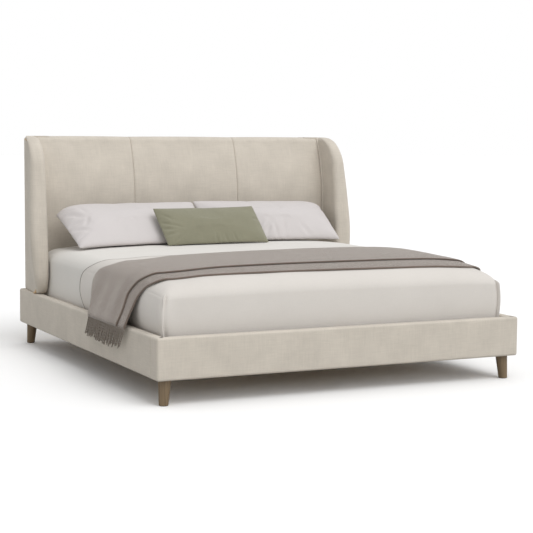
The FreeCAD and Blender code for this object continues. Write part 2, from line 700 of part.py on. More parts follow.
seam = size("panel_seam")
edge = size("wing_seam") - gap
for name, low_x, high_x in (("left", -edge, -seam - gap / 2), ("centre", -seam + gap / 2, seam - gap / 2),
                            ("right", seam + gap / 2, edge)):
    shape = panel(low_x, high_x)
    behind = solid_box((-size("wing_seam"), pad_back, 0), (size("wing_seam"), back_y, top_z))
    within = size("wing_seam") - WING_WALL - gap
    cap = behind.common(solid_box((-within, 0, 0), (within, back_y, top_z + 1)))
    free_form(f"headboard_panel_{name}", shape.cut(behind).fuse(shape.common(cap)).removeSplitter())

# Wings ----------------------------------------------------------------------------------------
# Each wing is a hollow plywood frame under a padded cover. It stands on the side rail, reaches
# forward past the mattress's end, flares outwards, and its front edge curves back at the top.

WING_REACH = 757
WING_LEAN = 0.083
TOE_HEIGHT = 110
TOE_DEPTH = 75
BROW_HEIGHT = 171
BROW_DEPTH = 200
FLARE_IN = 12
FLARE_OUT = 20
ELBOW = (1014, 1030, 45)
BACK_CORNER = 1006
JOINT_STEP = 11


def wing_front(height):
    """How far forward the wing's edge is: a curved toe, a leaning line and a curved brow."""
    toe_top = rail_top + TOE_HEIGHT
    front = WING_REACH + WING_LEAN * (height - toe_top)
    if height < toe_top:
        front = WING_REACH + TOE_DEPTH * (1 - math.sqrt(1 - ((toe_top - height) / TOE_HEIGHT) ** 2))
    brow = top_z - BROW_HEIGHT
    if height > brow:
        share = min(1, (height - brow) / BROW_HEIGHT)
        front += BROW_DEPTH * (1 - math.sqrt(1 - share ** 2))
    return front


def wing_section(side, height, inset, shift):
    """The wing's plan outline at a height, drawn in by an inset, at the height plus a shift."""
    front = wing_front(height) + inset
    inner = size("wing_inner") + inset
    outer = size("wing_outer") - inset
    seam_x = size("wing_seam") + inset
    beside_panel = min(panel_front(height), pad_back - FLARE_IN)
    joint_y = max(beside_panel + inset, front - JOINT_STEP)
    elbow_x, elbow_from, elbow_step = ELBOW
    elbow_y = max(elbow_from, front + elbow_step)
    corners = [
        (inner, front - FLARE_IN), (outer, front + FLARE_OUT), (elbow_x - inset, elbow_y),
        (BACK_CORNER - inset, back_y - inset),
        (seam_x - WING_WALL, back_y - inset), (seam_x - WING_WALL, pad_back + inset),
        (seam_x, pad_back + inset), (seam_x, joint_y), (inner, joint_y),
    ]
    points = [Vector(side * x, y, height + shift) for x, y in corners]
    return Part.makePolygon(points + points[:1])


def wing_solid(side, inset, low, high):
    """The wing between two heights, as straight strips between its plan outlines."""
    brow = top_z - BROW_HEIGHT
    turns = [math.sin(math.radians(angle)) for angle in (0, 15, 30, 43, 55, 66, 75, 83)]
    levels = [rail_top + TOE_HEIGHT * (1 - turn) for turn in turns[::-1]]
    levels += [brow + BROW_HEIGHT * turn for turn in turns]
    inside = [level for level in levels if rail_top < level < top_z]
    stack = [rail_top] + inside + [top_z - 1]
    scale = (high - low) / (top_z - rail_top)
    wires = []
    for level in stack:
        height = low + (level - rail_top) * scale
        wires.append(wing_section(side, level, inset, height - level))
    wires.append(wing_section(side, top_z - 1, inset, high - top_z + 1))
    return Part.makeLoft(wires, True, True)


WING_PADDING = 18
PLY = 12
for side_name, side in SIDES:
    outside = wing_solid(side, 0, rail_top + gap, top_z)
    room = wing_solid(side, WING_PADDING - gap, rail_top + gap, top_z - WING_PADDING + gap)
    frame = wing_solid(side, WING_PADDING, rail_top + gap, top_z - WING_PADDING)
    void_x = sorted(side * x for x in (size("wing_seam") - WING_WALL + WING_PADDING + PLY, 979))
    void = solid_box((void_x[0], pad_back + PLY, 0),
                     (void_x[1], back_y - WING_PADDING - PLY, top_z - WING_PADDING - PLY))
    free_form(f"wing_cover_{side_name}", outside.cut(room).cut(frame))
    free_form(f"wing_frame_{side_name}", frame.cut(void))

# Mattress and bedding -------------------------------------------------------------------------


def slab(low, high, corner, top_edge):
    """A box with rounded upright corners and a rounded upper edge."""
    box = solid_box(low, high)
    upright = [edge for edge in box.Edges if edge.BoundBox.ZLength > edge.BoundBox.XLength
               + edge.BoundBox.YLength]
    box = box.makeFillet(corner, upright)
    upper = [edge for edge in box.Edges if edge.BoundBox.ZMin > high[2] - 0.01]
    return box.makeFillet(top_edge, upper)


bed_x = size("mattress_width") / 2
bed_foot = -half_length + size("mattress_foot")
bed_head = bed_foot + size("mattress_length")
bed_top = slat_top + size("mattress_height")
CORNER = 70
SHOULDER = 55


def over_mattress(grow, low_z):
    """The mattress's outline grown by a distance, from a height up."""
    return slab((-bed_x - grow, bed_foot - grow, low_z),
                (bed_x + grow, bed_head + grow, bed_top + grow), CORNER + grow, SHOULDER + grow)


free_form("mattress", over_mattress(0, slat_top))

sheet_out = gap + size("sheet_thickness")
sheet_shell = over_mattress(sheet_out, slat_top + 6).cut(over_mattress(gap, slat_top - 60))
free_form("fitted_sheet", sheet_shell)

coverlet_in = sheet_out + gap
coverlet_out = coverlet_in + size("coverlet_thickness")
COVERLET_HEAD = 110
laid = over_mattress(coverlet_out, slat_top + 6).cut(over_mattress(coverlet_in, slat_top - 60))
reach = solid_box((-half_width, -half_length, 0), (half_width, COVERLET_HEAD, top_z))
free_form("coverlet", laid.common(reach))

throw_in = coverlet_out + gap
throw_out = throw_in + 2 * size("throw_thickness")
LEAVES_MATTRESS = 540
HEM_HEIGHT = 340
HEM_OUT = half_width + 6


def throw_edge(side, out):
    """One side of the throw's cross-section: over the shoulder, then out over the rail."""
    top = bed_top + out
    side_x = bed_x + out
    radius = SHOULDER + out
    bend = side_x - radius * (1 - math.cos(math.radians(45)))
    drop = top - radius * (1 - math.sin(math.radians(45)))
    hem_x = HEM_OUT + out - throw_in
    arc = Part.Arc(Vector(side * (side_x - radius), 0, top), Vector(side * bend, 0, drop),
                   Vector(side * side_x, 0, top - radius))
    run = Part.LineSegment(arc.EndPoint, Vector(side * side_x, 0, LEAVES_MATTRESS))
    fall = Part.LineSegment(run.EndPoint, Vector(side * hem_x, 0, HEM_HEIGHT))
    return [arc.toShape(), run.toShape(), fall.toShape()], arc.StartPoint, fall.EndPoint


pieces = []
ends = {}
for out in (throw_in, throw_out):
    starts = []
    for side in (-1, 1):
        edges, start, hem = throw_edge(side, out)
        pieces += edges
        starts.append(start)
        ends[(side, out)] = hem
    pieces.append(Part.LineSegment(*starts).toShape())
for side in (-1, 1):
    pieces.append(Part.LineSegment(ends[(side, throw_in)], ends[(side, throw_out)]).toShape())
band = Part.Face(Part.Wire(Part.__sortEdges__(pieces)))
band.translate(Vector(0, -size("throw_foot"), 0))
band = band.extrude(Vector(0, size("throw_foot") - size("throw_head"), 0))
FRINGE_FRONT = -790
FRINGE_BACK = -240
FRINGE_LEAN = 70
FRINGE_THICKNESS = 9
narrowing = [
    (-size("throw_foot"), top_z), (-size("throw_foot"), 600), (-830, 530),
    (FRINGE_FRONT, HEM_HEIGHT - 5), (FRINGE_BACK, HEM_HEIGHT - 5),
    (-size("throw_head"), 480), (-size("throw_head"), top_z),
]
points = [Vector(-half_length, y, z) for y, z in narrowing]
trim = Part.Face(Part.makePolygon(points + points[:1])).extrude(Vector(2 * half_length, 0, 0))
free_form("throw_blanket", band.common(trim))

for side_name, side in SIDES:
    near = half_width + 1
    low = (near, FRINGE_FRONT, HEM_HEIGHT - gap - size("fringe_length"))
    high = (near + FRINGE_THICKNESS, FRINGE_BACK + FRINGE_LEAN, HEM_HEIGHT - gap)
    fringe = solid_box(low, high)
    if side < 0:
        fringe = fringe.mirror(Vector(0, 0, 0), Vector(1, 0, 0))
    free_form(f"throw_fringe_{side_name}", fringe)


def leaning_pad(middle, extent, lean):
    """A plump pad of the given width, height and thickness, leaning back from upright."""
    width, height, thickness = extent
    pad_box = solid_box((-width / 2, -height / 2, -thickness / 2),
                        (width / 2, height / 2, thickness / 2))
    plump = pad_box.makeFillet(thickness / 2 - 1, pad_box.Edges)
    plump.rotate(Vector(0, 0, 0), Vector(1, 0, 0), lean)
    plump.translate(Vector(*middle))
    return plump


PILLOW = (890, 400, 110)
PILLOW_MIDDLE = (455, 725, bed_top + 142)
PILLOW_LEAN = 34
CUSHION = (680, 270, 90)
CUSHION_MIDDLE = (10, 510, bed_top + 129)
CUSHION_LEAN = 56
for side_name, side in SIDES:
    x, y, z = PILLOW_MIDDLE
    free_form(f"pillow_{side_name}", leaning_pad((side * x, y, z), PILLOW, PILLOW_LEAN))
free_form("lumbar_cushion", leaning_pad(CUSHION_MIDDLE, CUSHION, CUSHION_LEAN))

# Write the pieces -----------------------------------------------------------------------------

doc.recompute()
for item in doc.Objects:
    if "Invalid" in item.State or "Error" in item.State:
        raise RuntimeError(f"{item.Name} failed to recompute: {item.State}")
os.makedirs("parts", exist_ok=True)
for piece in parts:
    if piece.Shape.isNull() or not piece.Shape.isValid() or piece.Shape.Volume <= 0:
        raise RuntimeError(f"{piece.Label} has no valid shape")
for piece in parts:
    piece.Shape.exportStep(f"parts/{piece.Label}.step")
print(len(parts), "pieces written")
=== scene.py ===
import math
import bmesh
import bpy
import numpy as np
from mathutils import Matrix, Vector, noise


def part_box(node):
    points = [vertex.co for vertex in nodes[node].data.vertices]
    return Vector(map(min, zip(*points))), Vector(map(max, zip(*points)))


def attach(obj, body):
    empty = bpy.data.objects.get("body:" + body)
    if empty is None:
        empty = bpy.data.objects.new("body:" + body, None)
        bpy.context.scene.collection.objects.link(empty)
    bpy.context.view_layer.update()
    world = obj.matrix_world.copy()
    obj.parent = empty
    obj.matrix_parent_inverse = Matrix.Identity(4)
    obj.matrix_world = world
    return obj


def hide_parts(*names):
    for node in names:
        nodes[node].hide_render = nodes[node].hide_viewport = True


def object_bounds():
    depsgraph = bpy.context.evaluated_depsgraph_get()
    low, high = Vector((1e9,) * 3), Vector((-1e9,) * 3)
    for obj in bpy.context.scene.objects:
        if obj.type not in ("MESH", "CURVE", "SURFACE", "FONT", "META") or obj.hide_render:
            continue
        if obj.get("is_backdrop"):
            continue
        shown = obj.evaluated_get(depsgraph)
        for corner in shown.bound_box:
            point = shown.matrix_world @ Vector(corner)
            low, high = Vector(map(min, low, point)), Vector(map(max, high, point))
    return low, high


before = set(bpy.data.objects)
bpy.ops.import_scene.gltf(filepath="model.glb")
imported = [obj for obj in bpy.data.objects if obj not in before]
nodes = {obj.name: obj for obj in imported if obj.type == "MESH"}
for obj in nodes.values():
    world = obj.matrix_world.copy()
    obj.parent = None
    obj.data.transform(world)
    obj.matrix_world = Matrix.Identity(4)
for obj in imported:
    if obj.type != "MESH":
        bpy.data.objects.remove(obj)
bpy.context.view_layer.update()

# Studio ---------------------------------------------------------------------------------------
# A pale floor under an even white surround and one broad soft lamp, above the foot of the bed
# and a little to its right. The camera stands low, beyond the foot and to the left.

CAMERA_PLACE = Vector((-3.48987, -7.42468, 1.32193))
CAMERA_TURN = math.radians(25.797)
CAMERA_DIP = math.radians(5.438)
CAMERA_ROLL = math.radians(0.434)
CAMERA_LENS = 96.22
SURROUND_LEVEL = 0.71
SURROUND_TILT = 0.16
LAMP_LEVEL = 1.48
LAMP_SPREAD = math.radians(50)
LAMP_FROM = Vector((0.14, -0.60, 0.79))


def put(tree, kind, inputs=(), **settings):
    """Adds a node to a tree, sets it up, and sets or links its inputs."""
    made = tree.nodes.new(kind)
    for name, value in settings.items():
        setattr(made, name, value)
    for name, value in dict(inputs).items():
        if isinstance(value, bpy.types.NodeSocket):
            tree.links.new(value, made.inputs[name])
        else:
            made.inputs[name].default_value = value
    return made


def paint(red, green, blue):
    """A colour on a 0 to 255 chart as the linear colour that a shader takes."""
    shares = [part / 255 for part in (red, green, blue)]
    return [share / 12.92 if share < 0.04 else ((share + 0.055) / 1.055) ** 2.4
            for share in shares] + [1]


def new_material(name):
    material = bpy.data.materials.new(name)
    material.use_nodes = True
    material.node_tree.nodes.clear()
    return material, material.node_tree


def finish_material(tree, shader):
    put(tree, "ShaderNodeOutputMaterial", {"Surface": shader})


scene = bpy.context.scene
scene.view_settings.view_transform = "Standard"
camera = bpy.data.objects.new("camera", bpy.data.cameras.new("camera"))
scene.collection.objects.link(camera)
camera.data.lens = CAMERA_LENS
camera.data.sensor_width = 36
camera.matrix_world = (Matrix.Translation(CAMERA_PLACE) @ Matrix.Rotation(-CAMERA_TURN, 4, "Z")
                       @ Matrix.Rotation(math.pi / 2 - CAMERA_DIP, 4, "X")
                       @ Matrix.Rotation(CAMERA_ROLL, 4, "Z"))
scene.camera = camera

world = bpy.data.worlds.new("surround")
scene.world = world
world.use_nodes = True
world.node_tree.nodes.clear()
path = put(world.node_tree, "ShaderNodeLightPath").outputs
seen = put(world.node_tree, "ShaderNodeMath",
           {0: path["Is Camera Ray"], 1: path["Is Glossy Ray"]}, operation="MAXIMUM")
seen = put(world.node_tree, "ShaderNodeMath",
           {0: seen.outputs[0], 1: path["Is Transmission Ray"]}, operation="MAXIMUM")
facing = put(world.node_tree, "ShaderNodeTexCoord").outputs["Generated"]
facing = put(world.node_tree, "ShaderNodeSeparateXYZ", {0: facing}).outputs["X"]
tilted = put(world.node_tree, "ShaderNodeMath", {0: facing, 1: SURROUND_LEVEL * SURROUND_TILT,
                                                 2: SURROUND_LEVEL}, operation="MULTIPLY_ADD")
level = put(world.node_tree, "ShaderNodeMapRange",
            {"Value": seen.outputs[0], "To Min": tilted.outputs[0], "To Max": 1})
sky = put(world.node_tree, "ShaderNodeBackground", {"Color": (1, 1, 1, 1), "Strength": level.outputs[0]})
put(world.node_tree, "ShaderNodeOutputWorld", {"Surface": sky.outputs[0]})

lamp = bpy.data.objects.new("lamp", bpy.data.lights.new("lamp", "SUN"))
scene.collection.objects.link(lamp)
lamp.data.energy = LAMP_LEVEL
lamp.data.angle = LAMP_SPREAD
lamp.rotation_euler = LAMP_FROM.to_track_quat("Z", "Y").to_euler()

FLOOR_HALF = 60
floor_mesh = bpy.data.meshes.new("floor")
floor_mesh.from_pydata([(x * FLOOR_HALF, y * FLOOR_HALF, 0) for x, y in
                        ((-1, -1), (1, -1), (1, 1), (-1, 1))], [], [(0, 1, 2, 3)])
floor = bpy.data.objects.new("floor", floor_mesh)
scene.collection.objects.link(floor)
floor_paint, tree = new_material("floor_paint")
shown = put(tree, "ShaderNodeLightPath").outputs["Is Camera Ray"]
grey = put(tree, "ShaderNodeMix", {"Factor": shown, 6: (0.56, 0.56, 0.55, 1), 7: (1, 1, 1, 1)},
           data_type="RGBA")
coat = put(tree, "ShaderNodeBsdfPrincipled", {"Base Color": grey.outputs[2], "Roughness": 0.95,
                                              "Specular IOR Level": 0.1})
finish_material(tree, coat.outputs[0])
floor_mesh.materials.append(floor_paint)
floor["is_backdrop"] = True

# Rails ----------------------------------------------------------------------------------------
# Three rails of pine board wrapped in wadding and natural linen. The foot rail's cloth is
# carried round both corners and sewn to each side rail's cloth in an upright seam.

LINEN = paint(205, 197, 185)
RAIL_EDGE = 0.012
RAIL_WRAP = 0.010
SEAM_DIP = 0.0035
SEAM_ROLL = 0.009


def streaks(tree, cloth, across, along, seed):
    """Noise drawn out along one thread direction, from 0 to 1."""
    placed = put(tree, "ShaderNodeMapping", {"Vector": cloth, "Location": (seed, seed * 1.7, 0),
                                             "Scale": (across, along, 1)})
    return put(tree, "ShaderNodeTexNoise", {"Vector": placed.outputs[0], "Scale": 1, "Detail": 2,
                                            "Roughness": 0.6}).outputs[0]


def total(tree, parts):
    """The sum of several values, each with its own share."""
    running = None
    for value, share in parts:
        scaled = put(tree, "ShaderNodeMath", {0: value, 1: share, 2: 0 if running is None else running},
                     operation="MULTIPLY_ADD")
        running = scaled.outputs[0]
    return running


def woven(name, colour, thread, contrast, relief, sheen, slub=0.5, cloud=0.3, cloud_size=0.12,
          roughness=0.85, rib=0.0, nap=0.5, fuzz=(1, 1, 1, 1)):
    """Cloth of crossed threads: uneven yarns both ways, soft clouding, and a raised weave."""
    material, tree = new_material(name)
    cloth = put(tree, "ShaderNodeTexCoord").outputs["UV"]
    fine, long = 1 / (2.2 * thread), 1 / (38 * thread)
    warp = streaks(tree, cloth, fine, long, 3.1)
    weft = streaks(tree, cloth, long, fine, 7.4)
    thick_warp = streaks(tree, cloth, fine / 3.2, long / 2.5, 11.3)
    thick_weft = streaks(tree, cloth, long / 2.5, fine / 3.2, 17.9)
    clouds = streaks(tree, cloth, 1 / cloud_size, 1 / cloud_size, 23.5)
    shares = [(warp, (1 - slub) / 2), (weft, (1 - slub) / 2), (thick_warp, slub / 2),
              (thick_weft, slub / 2), (clouds, cloud)]
    mixed = total(tree, shares)
    middle = (1 + cloud) / 2
    depth = put(tree, "ShaderNodeMapRange", {"Value": mixed, "From Min": middle - 0.22,
                                             "From Max": middle + 0.22})
    dark = [part * (1 - contrast) for part in colour[:3]] + [1]
    light = [min(1, part * (1 + contrast * 0.8)) for part in colour[:3]] + [1]
    tint = put(tree, "ShaderNodeMix", {"Factor": depth.outputs[0], 6: dark, 7: light}, data_type="RGBA")
    spread = put(tree, "ShaderNodeSeparateXYZ", {0: cloth}).outputs
    turns = math.pi / thread
    over = [put(tree, "ShaderNodeMath",
                {0: put(tree, "ShaderNodeMath", {0: spread[side], 1: turns}, operation="MULTIPLY").outputs[0]},
                operation="SINE").outputs[0] for side in (0, 1)]
    checker = put(tree, "ShaderNodeMath", {0: over[0], 1: over[1]}, operation="MULTIPLY").outputs[0]
    height = total(tree, [(checker, 0.35), (warp, 0.8), (weft, 0.8), (thick_warp, 0.9 + rib),
                          (thick_weft, 0.9)])
    raised = put(tree, "ShaderNodeBump", {"Height": height, "Strength": relief, "Distance": thread * 1.2})
    shader = put(tree, "ShaderNodeBsdfPrincipled", {
        "Base Color": tint.outputs[2], "Roughness": roughness, "Specular IOR Level": 0.2,
        "Sheen Weight": sheen, "Sheen Roughness": nap, "Sheen Tint": fuzz, "Normal": raised.outputs[0]})
    finish_material(tree, shader.outputs[0])
    return material


def new_piece(name, points, faces, uv, material, sharp=None):
    """A mesh piece from points and faces, with a UV pair for every corner of every face."""
    mesh = bpy.data.meshes.new(name)
    mesh.from_pydata([tuple(point) for point in points], [], faces)
    layer = mesh.uv_layers.new(name="cloth")
    layer.data.foreach_set("uv", np.asarray(uv, np.float32).ravel())
    mesh.materials.append(material)
    work = bmesh.new()
    work.from_mesh(mesh)
    bmesh.ops.remove_doubles(work, verts=work.verts, dist=1e-6)
    bmesh.ops.dissolve_degenerate(work, dist=1e-7, edges=work.edges)
    bmesh.ops.recalc_face_normals(work, faces=work.faces)
    work.to_mesh(mesh)
    work.free()
    mesh.polygons.foreach_set("use_smooth", [True] * len(mesh.polygons))
    if sharp:
        mesh.set_sharp_from_angle(angle=math.radians(sharp))
    piece = bpy.data.objects.new(name, mesh)
    scene.collection.objects.link(piece)
    return piece


def lengths(line):
    """How far along a line of points each of them is."""
    steps = np.linalg.norm(np.diff(np.asarray(line, float), axis=0), axis=1)
    return np.concatenate([[0], np.cumsum(steps)])


def strip_faces(first, second, start, uv_along, uv_from, uv_to, faces, uv, turned=False):
    """Joins two closed loops of points, numbered from first and second, with quads."""
    count = len(uv_along) - 1
    for i in range(count):
        j = (i + 1) % count
        corners = [first + i, first + j, second + j, second + i]
        pairs = [(uv_along[i], uv_from), (uv_along[i + 1], uv_from),
                 (uv_along[i + 1], uv_to), (uv_along[i], uv_to)]
        faces.append([start + corner for corner in (corners[::-1] if turned else corners)])
        uv.extend(pairs[::-1] if turned else pairs)


def lofted(name, loops, material, inner=None, sharp=40, spine=None):
    """A closed shell through a stack of closed loops, solid at both ends or open like a sleeve."""
    loops = np.asarray(loops, float)
    stations, count = loops.shape[:2]
    widest = max(loops, key=lambda loop: lengths(loop)[-1])
    round_it = lengths(np.vstack([widest, widest[:1]]))
    along = lengths(loops[:, 0] if spine is None else spine)
    faces, uv = [], []
    for i in range(stations - 1):
        strip_faces(i * count, (i + 1) * count, 0, round_it, along[i], along[i + 1], faces, uv)
    points = loops.reshape(-1, 3)
    if inner is None:
        for end, at in ((0, 0), (stations - 1, along[-1])):
            flat = loops[end] - loops[end].mean(0)
            faces.append([end * count + i for i in range(count)])
            across = np.argsort(np.ptp(flat, axis=0))[1:]
            uv.extend([(spot[across[0]] + at, spot[across[1]]) for spot in flat])
    else:
        inner = np.asarray(inner, float)
        offset = stations * count
        for i in range(stations - 1):
            strip_faces(i * count, (i + 1) * count, offset, round_it, along[i], along[i + 1],
                        faces, uv, turned=True)
        for end, way in ((0, True), (stations - 1, False)):
            strip_faces(end * count, offset + end * count, 0, round_it, along[end],
                        along[end] + 0.01, faces, uv, turned=way)
        points = np.vstack([points, inner.reshape(-1, 3)])
    return new_piece(name, points, faces, uv, material, sharp)


def rounded(corners, radii, steps=7, edge_steps=4):
    """A closed outline through rounded corners, always with the same number of points."""
    corners = [Vector(corner) for corner in corners]
    count = len(corners)
    arcs = []
    for i, corner in enumerate(corners):
        before, after = corners[i - 1] - corner, corners[(i + 1) % count] - corner
        half = before.angle(after, 3.0) / 2
        room = 0.46 * min(before.length, after.length)
        reach = min(radii[i] / max(math.tan(half), 0.05), room)
        radius = reach * math.tan(half)
        centre = corner + (before.normalized() + after.normalized()).normalized() * (
            radius / max(math.sin(half), 0.05))
        start = corner + before.normalized() * reach
        end = corner + after.normalized() * reach
        arc = []
        for step in range(steps):
            share = step / (steps - 1)
            leaning = (start - centre) * (1 - share) + (end - centre) * share
            arc.append(centre + leaning.normalized() * radius if radius > 1e-5 else start.lerp(end, share))
        arcs.append(arc)
    outline = []
    for i, arc in enumerate(arcs):
        outline += arc
        nearest = arcs[(i + 1) % count][0]
        outline += [arc[-1].lerp(nearest, step / edge_steps) for step in range(1, edge_steps)]
    return outline


def dip(distance, depth=SEAM_DIP, roll=SEAM_ROLL):
    """How far padded cloth is drawn in at a distance from its seam: a quarter round."""
    share = max(0.0, 1 - distance / roll)
    return depth * (1 - math.sqrt(1 - min(1, share) ** 2))


linen = woven("natural_linen", LINEN, 0.0011, 0.13, 0.35, 0.15, slub=0.55, cloud=0.45, cloud_size=0.16)

cover_low, cover_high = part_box("foot_rail_cover")
RAIL_BOTTOM, RAIL_TOP = cover_low.z, cover_high.z
RAIL_OUT, RAIL_FOOT = cover_high.x, cover_low.y
RAIL_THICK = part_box("side_rail_cover_right")[1].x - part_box("side_rail_cover_right")[0].x
RAIL_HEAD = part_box("side_rail_cover_right")[1].y


def rail_profile(inset):
    """The rail's cross-section: distance in from its outer face, and height."""
    low, high = inset, RAIL_THICK - inset
    bottom, top = RAIL_BOTTOM + inset, RAIL_TOP - inset
    radius = max(RAIL_EDGE - inset, 0.002)
    return rounded([(low, bottom), (high, bottom), (high, top), (low, top)], [radius] * 4, edge_steps=8)


def side_rail_loops(side, inset):
    """Loops across a side rail from its seam to the head end, drawn in a little at both."""
    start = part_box("side_rail_cover_right")[0].y
    length = RAIL_HEAD - start
    ends = [0, 0.001, 0.0025, 0.005, 0.009]
    stops = ends + [0.02] + [length * step / 40 for step in range(1, 40)] + [length - 0.02]
    stops += [length - end for end in ends[::-1]]
    loops = []
    for stop in stops:
        drawn = dip(stop) + dip(length - stop, 0.006, 0.009)
        shape = rail_profile(inset + (drawn if inset == 0 else 0))
        loops.append([(side * (RAIL_OUT - depth), start + stop, height) for depth, height in shape])
    return loops


def foot_rail_loops(inset):
    """Loops along the foot rail, from one seam round both corners to the other."""
    seam_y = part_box("foot_rail_cover")[1].y
    centre = (RAIL_OUT - RAIL_EDGE, RAIL_FOOT + RAIL_EDGE)
    return_length = seam_y - centre[1]
    half = []
    for stop in [0, 0.001, 0.0025, 0.005, 0.009, 0.03, 0.055, return_length]:
        half.append(("side", stop, dip(stop)))
    half += [("corner", math.radians(turn), 0) for turn in (0, 15, 30, 45, 60, 75, 90)]
    half += [("front", centre[0] * (1 - share), 0) for share in (0.0, 0.01, 0.03, 0.1, 0.2, 0.3, 0.4,
                                                               0.5, 0.6, 0.7, 0.8, 0.9, 1.0)]
    loops = []
    for kind, place, drawn in half:
        loop = []
        for depth, height in rail_profile(inset + (drawn if inset == 0 else 0)):
            if kind == "side":
                spot = (RAIL_OUT - depth, seam_y - place)
            elif kind == "front":
                spot = (min(place, RAIL_OUT - max(depth, RAIL_EDGE)), RAIL_FOOT + depth)
            elif depth < RAIL_EDGE:
                reach = RAIL_EDGE - depth
                spot = (centre[0] + reach * math.cos(place), centre[1] - reach * math.sin(place))
            else:
                reach = depth - RAIL_EDGE
                spot = (centre[0] - reach, centre[1] + reach)
            loop.append((spot[0], spot[1], height))
        loops.append(loop)
    mirrored = [[(-x, y, z) for x, y, z in loop] for loop in loops[-2::-1]]
    return loops + mirrored


def outer_line(loops):
    """The spine of a sweep for its UV map: the loops' outermost points."""
    return [max(loop, key=lambda spot: abs(spot[0]) * 2 - spot[1]) for loop in loops]


for side, name in ((-1, "left"), (1, "right")):
    node = f"side_rail_cover_{name}"
    piece = lofted(f"side_rail_linen_{name}", side_rail_loops(side, 0), linen,
                   inner=side_rail_loops(side, RAIL_WRAP))
    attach(piece, "bed")
    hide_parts(node)
foot_loops = foot_rail_loops(0)
piece = lofted("foot_rail_linen", foot_loops, linen, inner=foot_rail_loops(RAIL_WRAP),
               spine=outer_line(foot_loops))
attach(piece, "bed")
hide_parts("foot_rail_cover")

# Legs -----------------------------------------------------------------------------------------
# Four turned oak legs, stained mid-brown and oiled, with a grey felt glide pinned under each.


def timber(name, colour, grain, ring_size, contrast, roughness, pores=0.15):
    """Wood with its grain along one axis: long figure, fine pores and a soft polish."""
    material, tree = new_material(name)
    spot = put(tree, "ShaderNodeTexCoord").outputs["Object"]
    long, fine = 1.6, 1 / ring_size
    scale = [long if axis == grain else fine for axis in "xyz"]
    placed = put(tree, "ShaderNodeMapping", {"Vector": spot, "Scale": scale})
    figure = put(tree, "ShaderNodeTexNoise", {"Vector": placed.outputs[0], "Scale": 1, "Detail": 5,
                                              "Roughness": 0.62, "Distortion": 0.6})
    pore_scale = [22 if axis == grain else 1400 for axis in "xyz"]
    pore_place = put(tree, "ShaderNodeMapping", {"Vector": spot, "Scale": pore_scale})
    pore = put(tree, "ShaderNodeTexNoise", {"Vector": pore_place.outputs[0], "Scale": 1, "Detail": 2})
    mixed = total(tree, [(figure.outputs[0], 1 - pores), (pore.outputs[0], pores)])
    depth = put(tree, "ShaderNodeMapRange", {"Value": mixed, "From Min": 0.32, "From Max": 0.66})
    dark = [part * (1 - contrast) for part in colour[:3]] + [1]
    light = [min(1, part * (1 + contrast * 0.7)) for part in colour[:3]] + [1]
    tint = put(tree, "ShaderNodeMix", {"Factor": depth.outputs[0], 6: dark, 7: light}, data_type="RGBA")
    raised = put(tree, "ShaderNodeBump", {"Height": mixed, "Strength": 0.25, "Distance": 0.0008})
    rough = put(tree, "ShaderNodeMapRange", {"Value": mixed, "From Min": 0.3, "From Max": 0.7,
                                             "To Min": roughness + 0.12, "To Max": roughness - 0.08})
    shader = put(tree, "ShaderNodeBsdfPrincipled", {
        "Base Color": tint.outputs[2], "Roughness": rough.outputs[0], "Normal": raised.outputs[0]})
    finish_material(tree, shader.outputs[0])
    return material


def finish(material, *names):
    """Gives CAD nodes their material."""
    for name in names:
        slots = nodes[name].data.materials
        if len(slots) == 0:
            slots.append(material)
        for i in range(len(slots)):
            slots[i] = material


def felted(name, colour):
    """Pressed wool fibre: a soft, speckled, matt surface."""
    material, tree = new_material(name)
    spot = put(tree, "ShaderNodeTexCoord").outputs["Object"]
    fibre = put(tree, "ShaderNodeTexNoise", {"Vector": spot, "Scale": 900, "Detail": 3})
    dark = [part * 0.7 for part in colour[:3]] + [1]
    tint = put(tree, "ShaderNodeMix", {"Factor": fibre.outputs[0], 6: dark, 7: colour}, data_type="RGBA")
    raised = put(tree, "ShaderNodeBump", {"Height": fibre.outputs[0], "Strength": 0.6, "Distance": 0.001})
    shader = put(tree, "ShaderNodeBsdfPrincipled", {"Base Color": tint.outputs[2], "Roughness": 0.95,
                                                    "Sheen Weight": 0.3, "Normal": raised.outputs[0]})
    finish_material(tree, shader.outputs[0])
    return material


finish(timber("stained_oak", paint(124, 105, 80), "z", 0.016, 0.42, 0.5, pores=0.3),
       "leg_front_left", "leg_front_right", "leg_rear_left", "leg_rear_right")
finish(felted("grey_felt", paint(96, 94, 90)), "felt_glides")

# Frame ----------------------------------------------------------------------------------------
# Planed pine rails, ledgers, beam, blocks and slats, with a plywood face board and wing frames.
# Zinc-plated bolts, brackets and levelling screws join and trim them.


def metal(name, colour, roughness, metallic, speckle=0.25, scale=60):
    """Plated or painted steel: uneven gloss with fine handling marks."""
    material, tree = new_material(name)
    spot = put(tree, "ShaderNodeTexCoord").outputs["Object"]
    bloom = put(tree, "ShaderNodeTexNoise", {"Vector": spot, "Scale": scale, "Detail": 5})
    marks = put(tree, "ShaderNodeTexNoise", {"Vector": spot, "Scale": scale * 14, "Detail": 2})
    mixed = total(tree, [(bloom.outputs[0], 0.6), (marks.outputs[0], 0.4)])
    dark = [part * (1 - speckle) for part in colour[:3]] + [1]
    tint = put(tree, "ShaderNodeMix", {"Factor": mixed, 6: dark, 7: colour}, data_type="RGBA")
    rough = put(tree, "ShaderNodeMapRange", {"Value": mixed, "From Min": 0.3, "From Max": 0.7,
                                             "To Min": roughness + 0.12, "To Max": roughness - 0.06})
    raised = put(tree, "ShaderNodeBump", {"Height": marks.outputs[0], "Strength": 0.15,
                                          "Distance": 0.0004})
    shader = put(tree, "ShaderNodeBsdfPrincipled", {
        "Base Color": tint.outputs[2], "Roughness": rough.outputs[0], "Metallic": metallic,
        "Normal": raised.outputs[0]})
    finish_material(tree, shader.outputs[0])
    return material


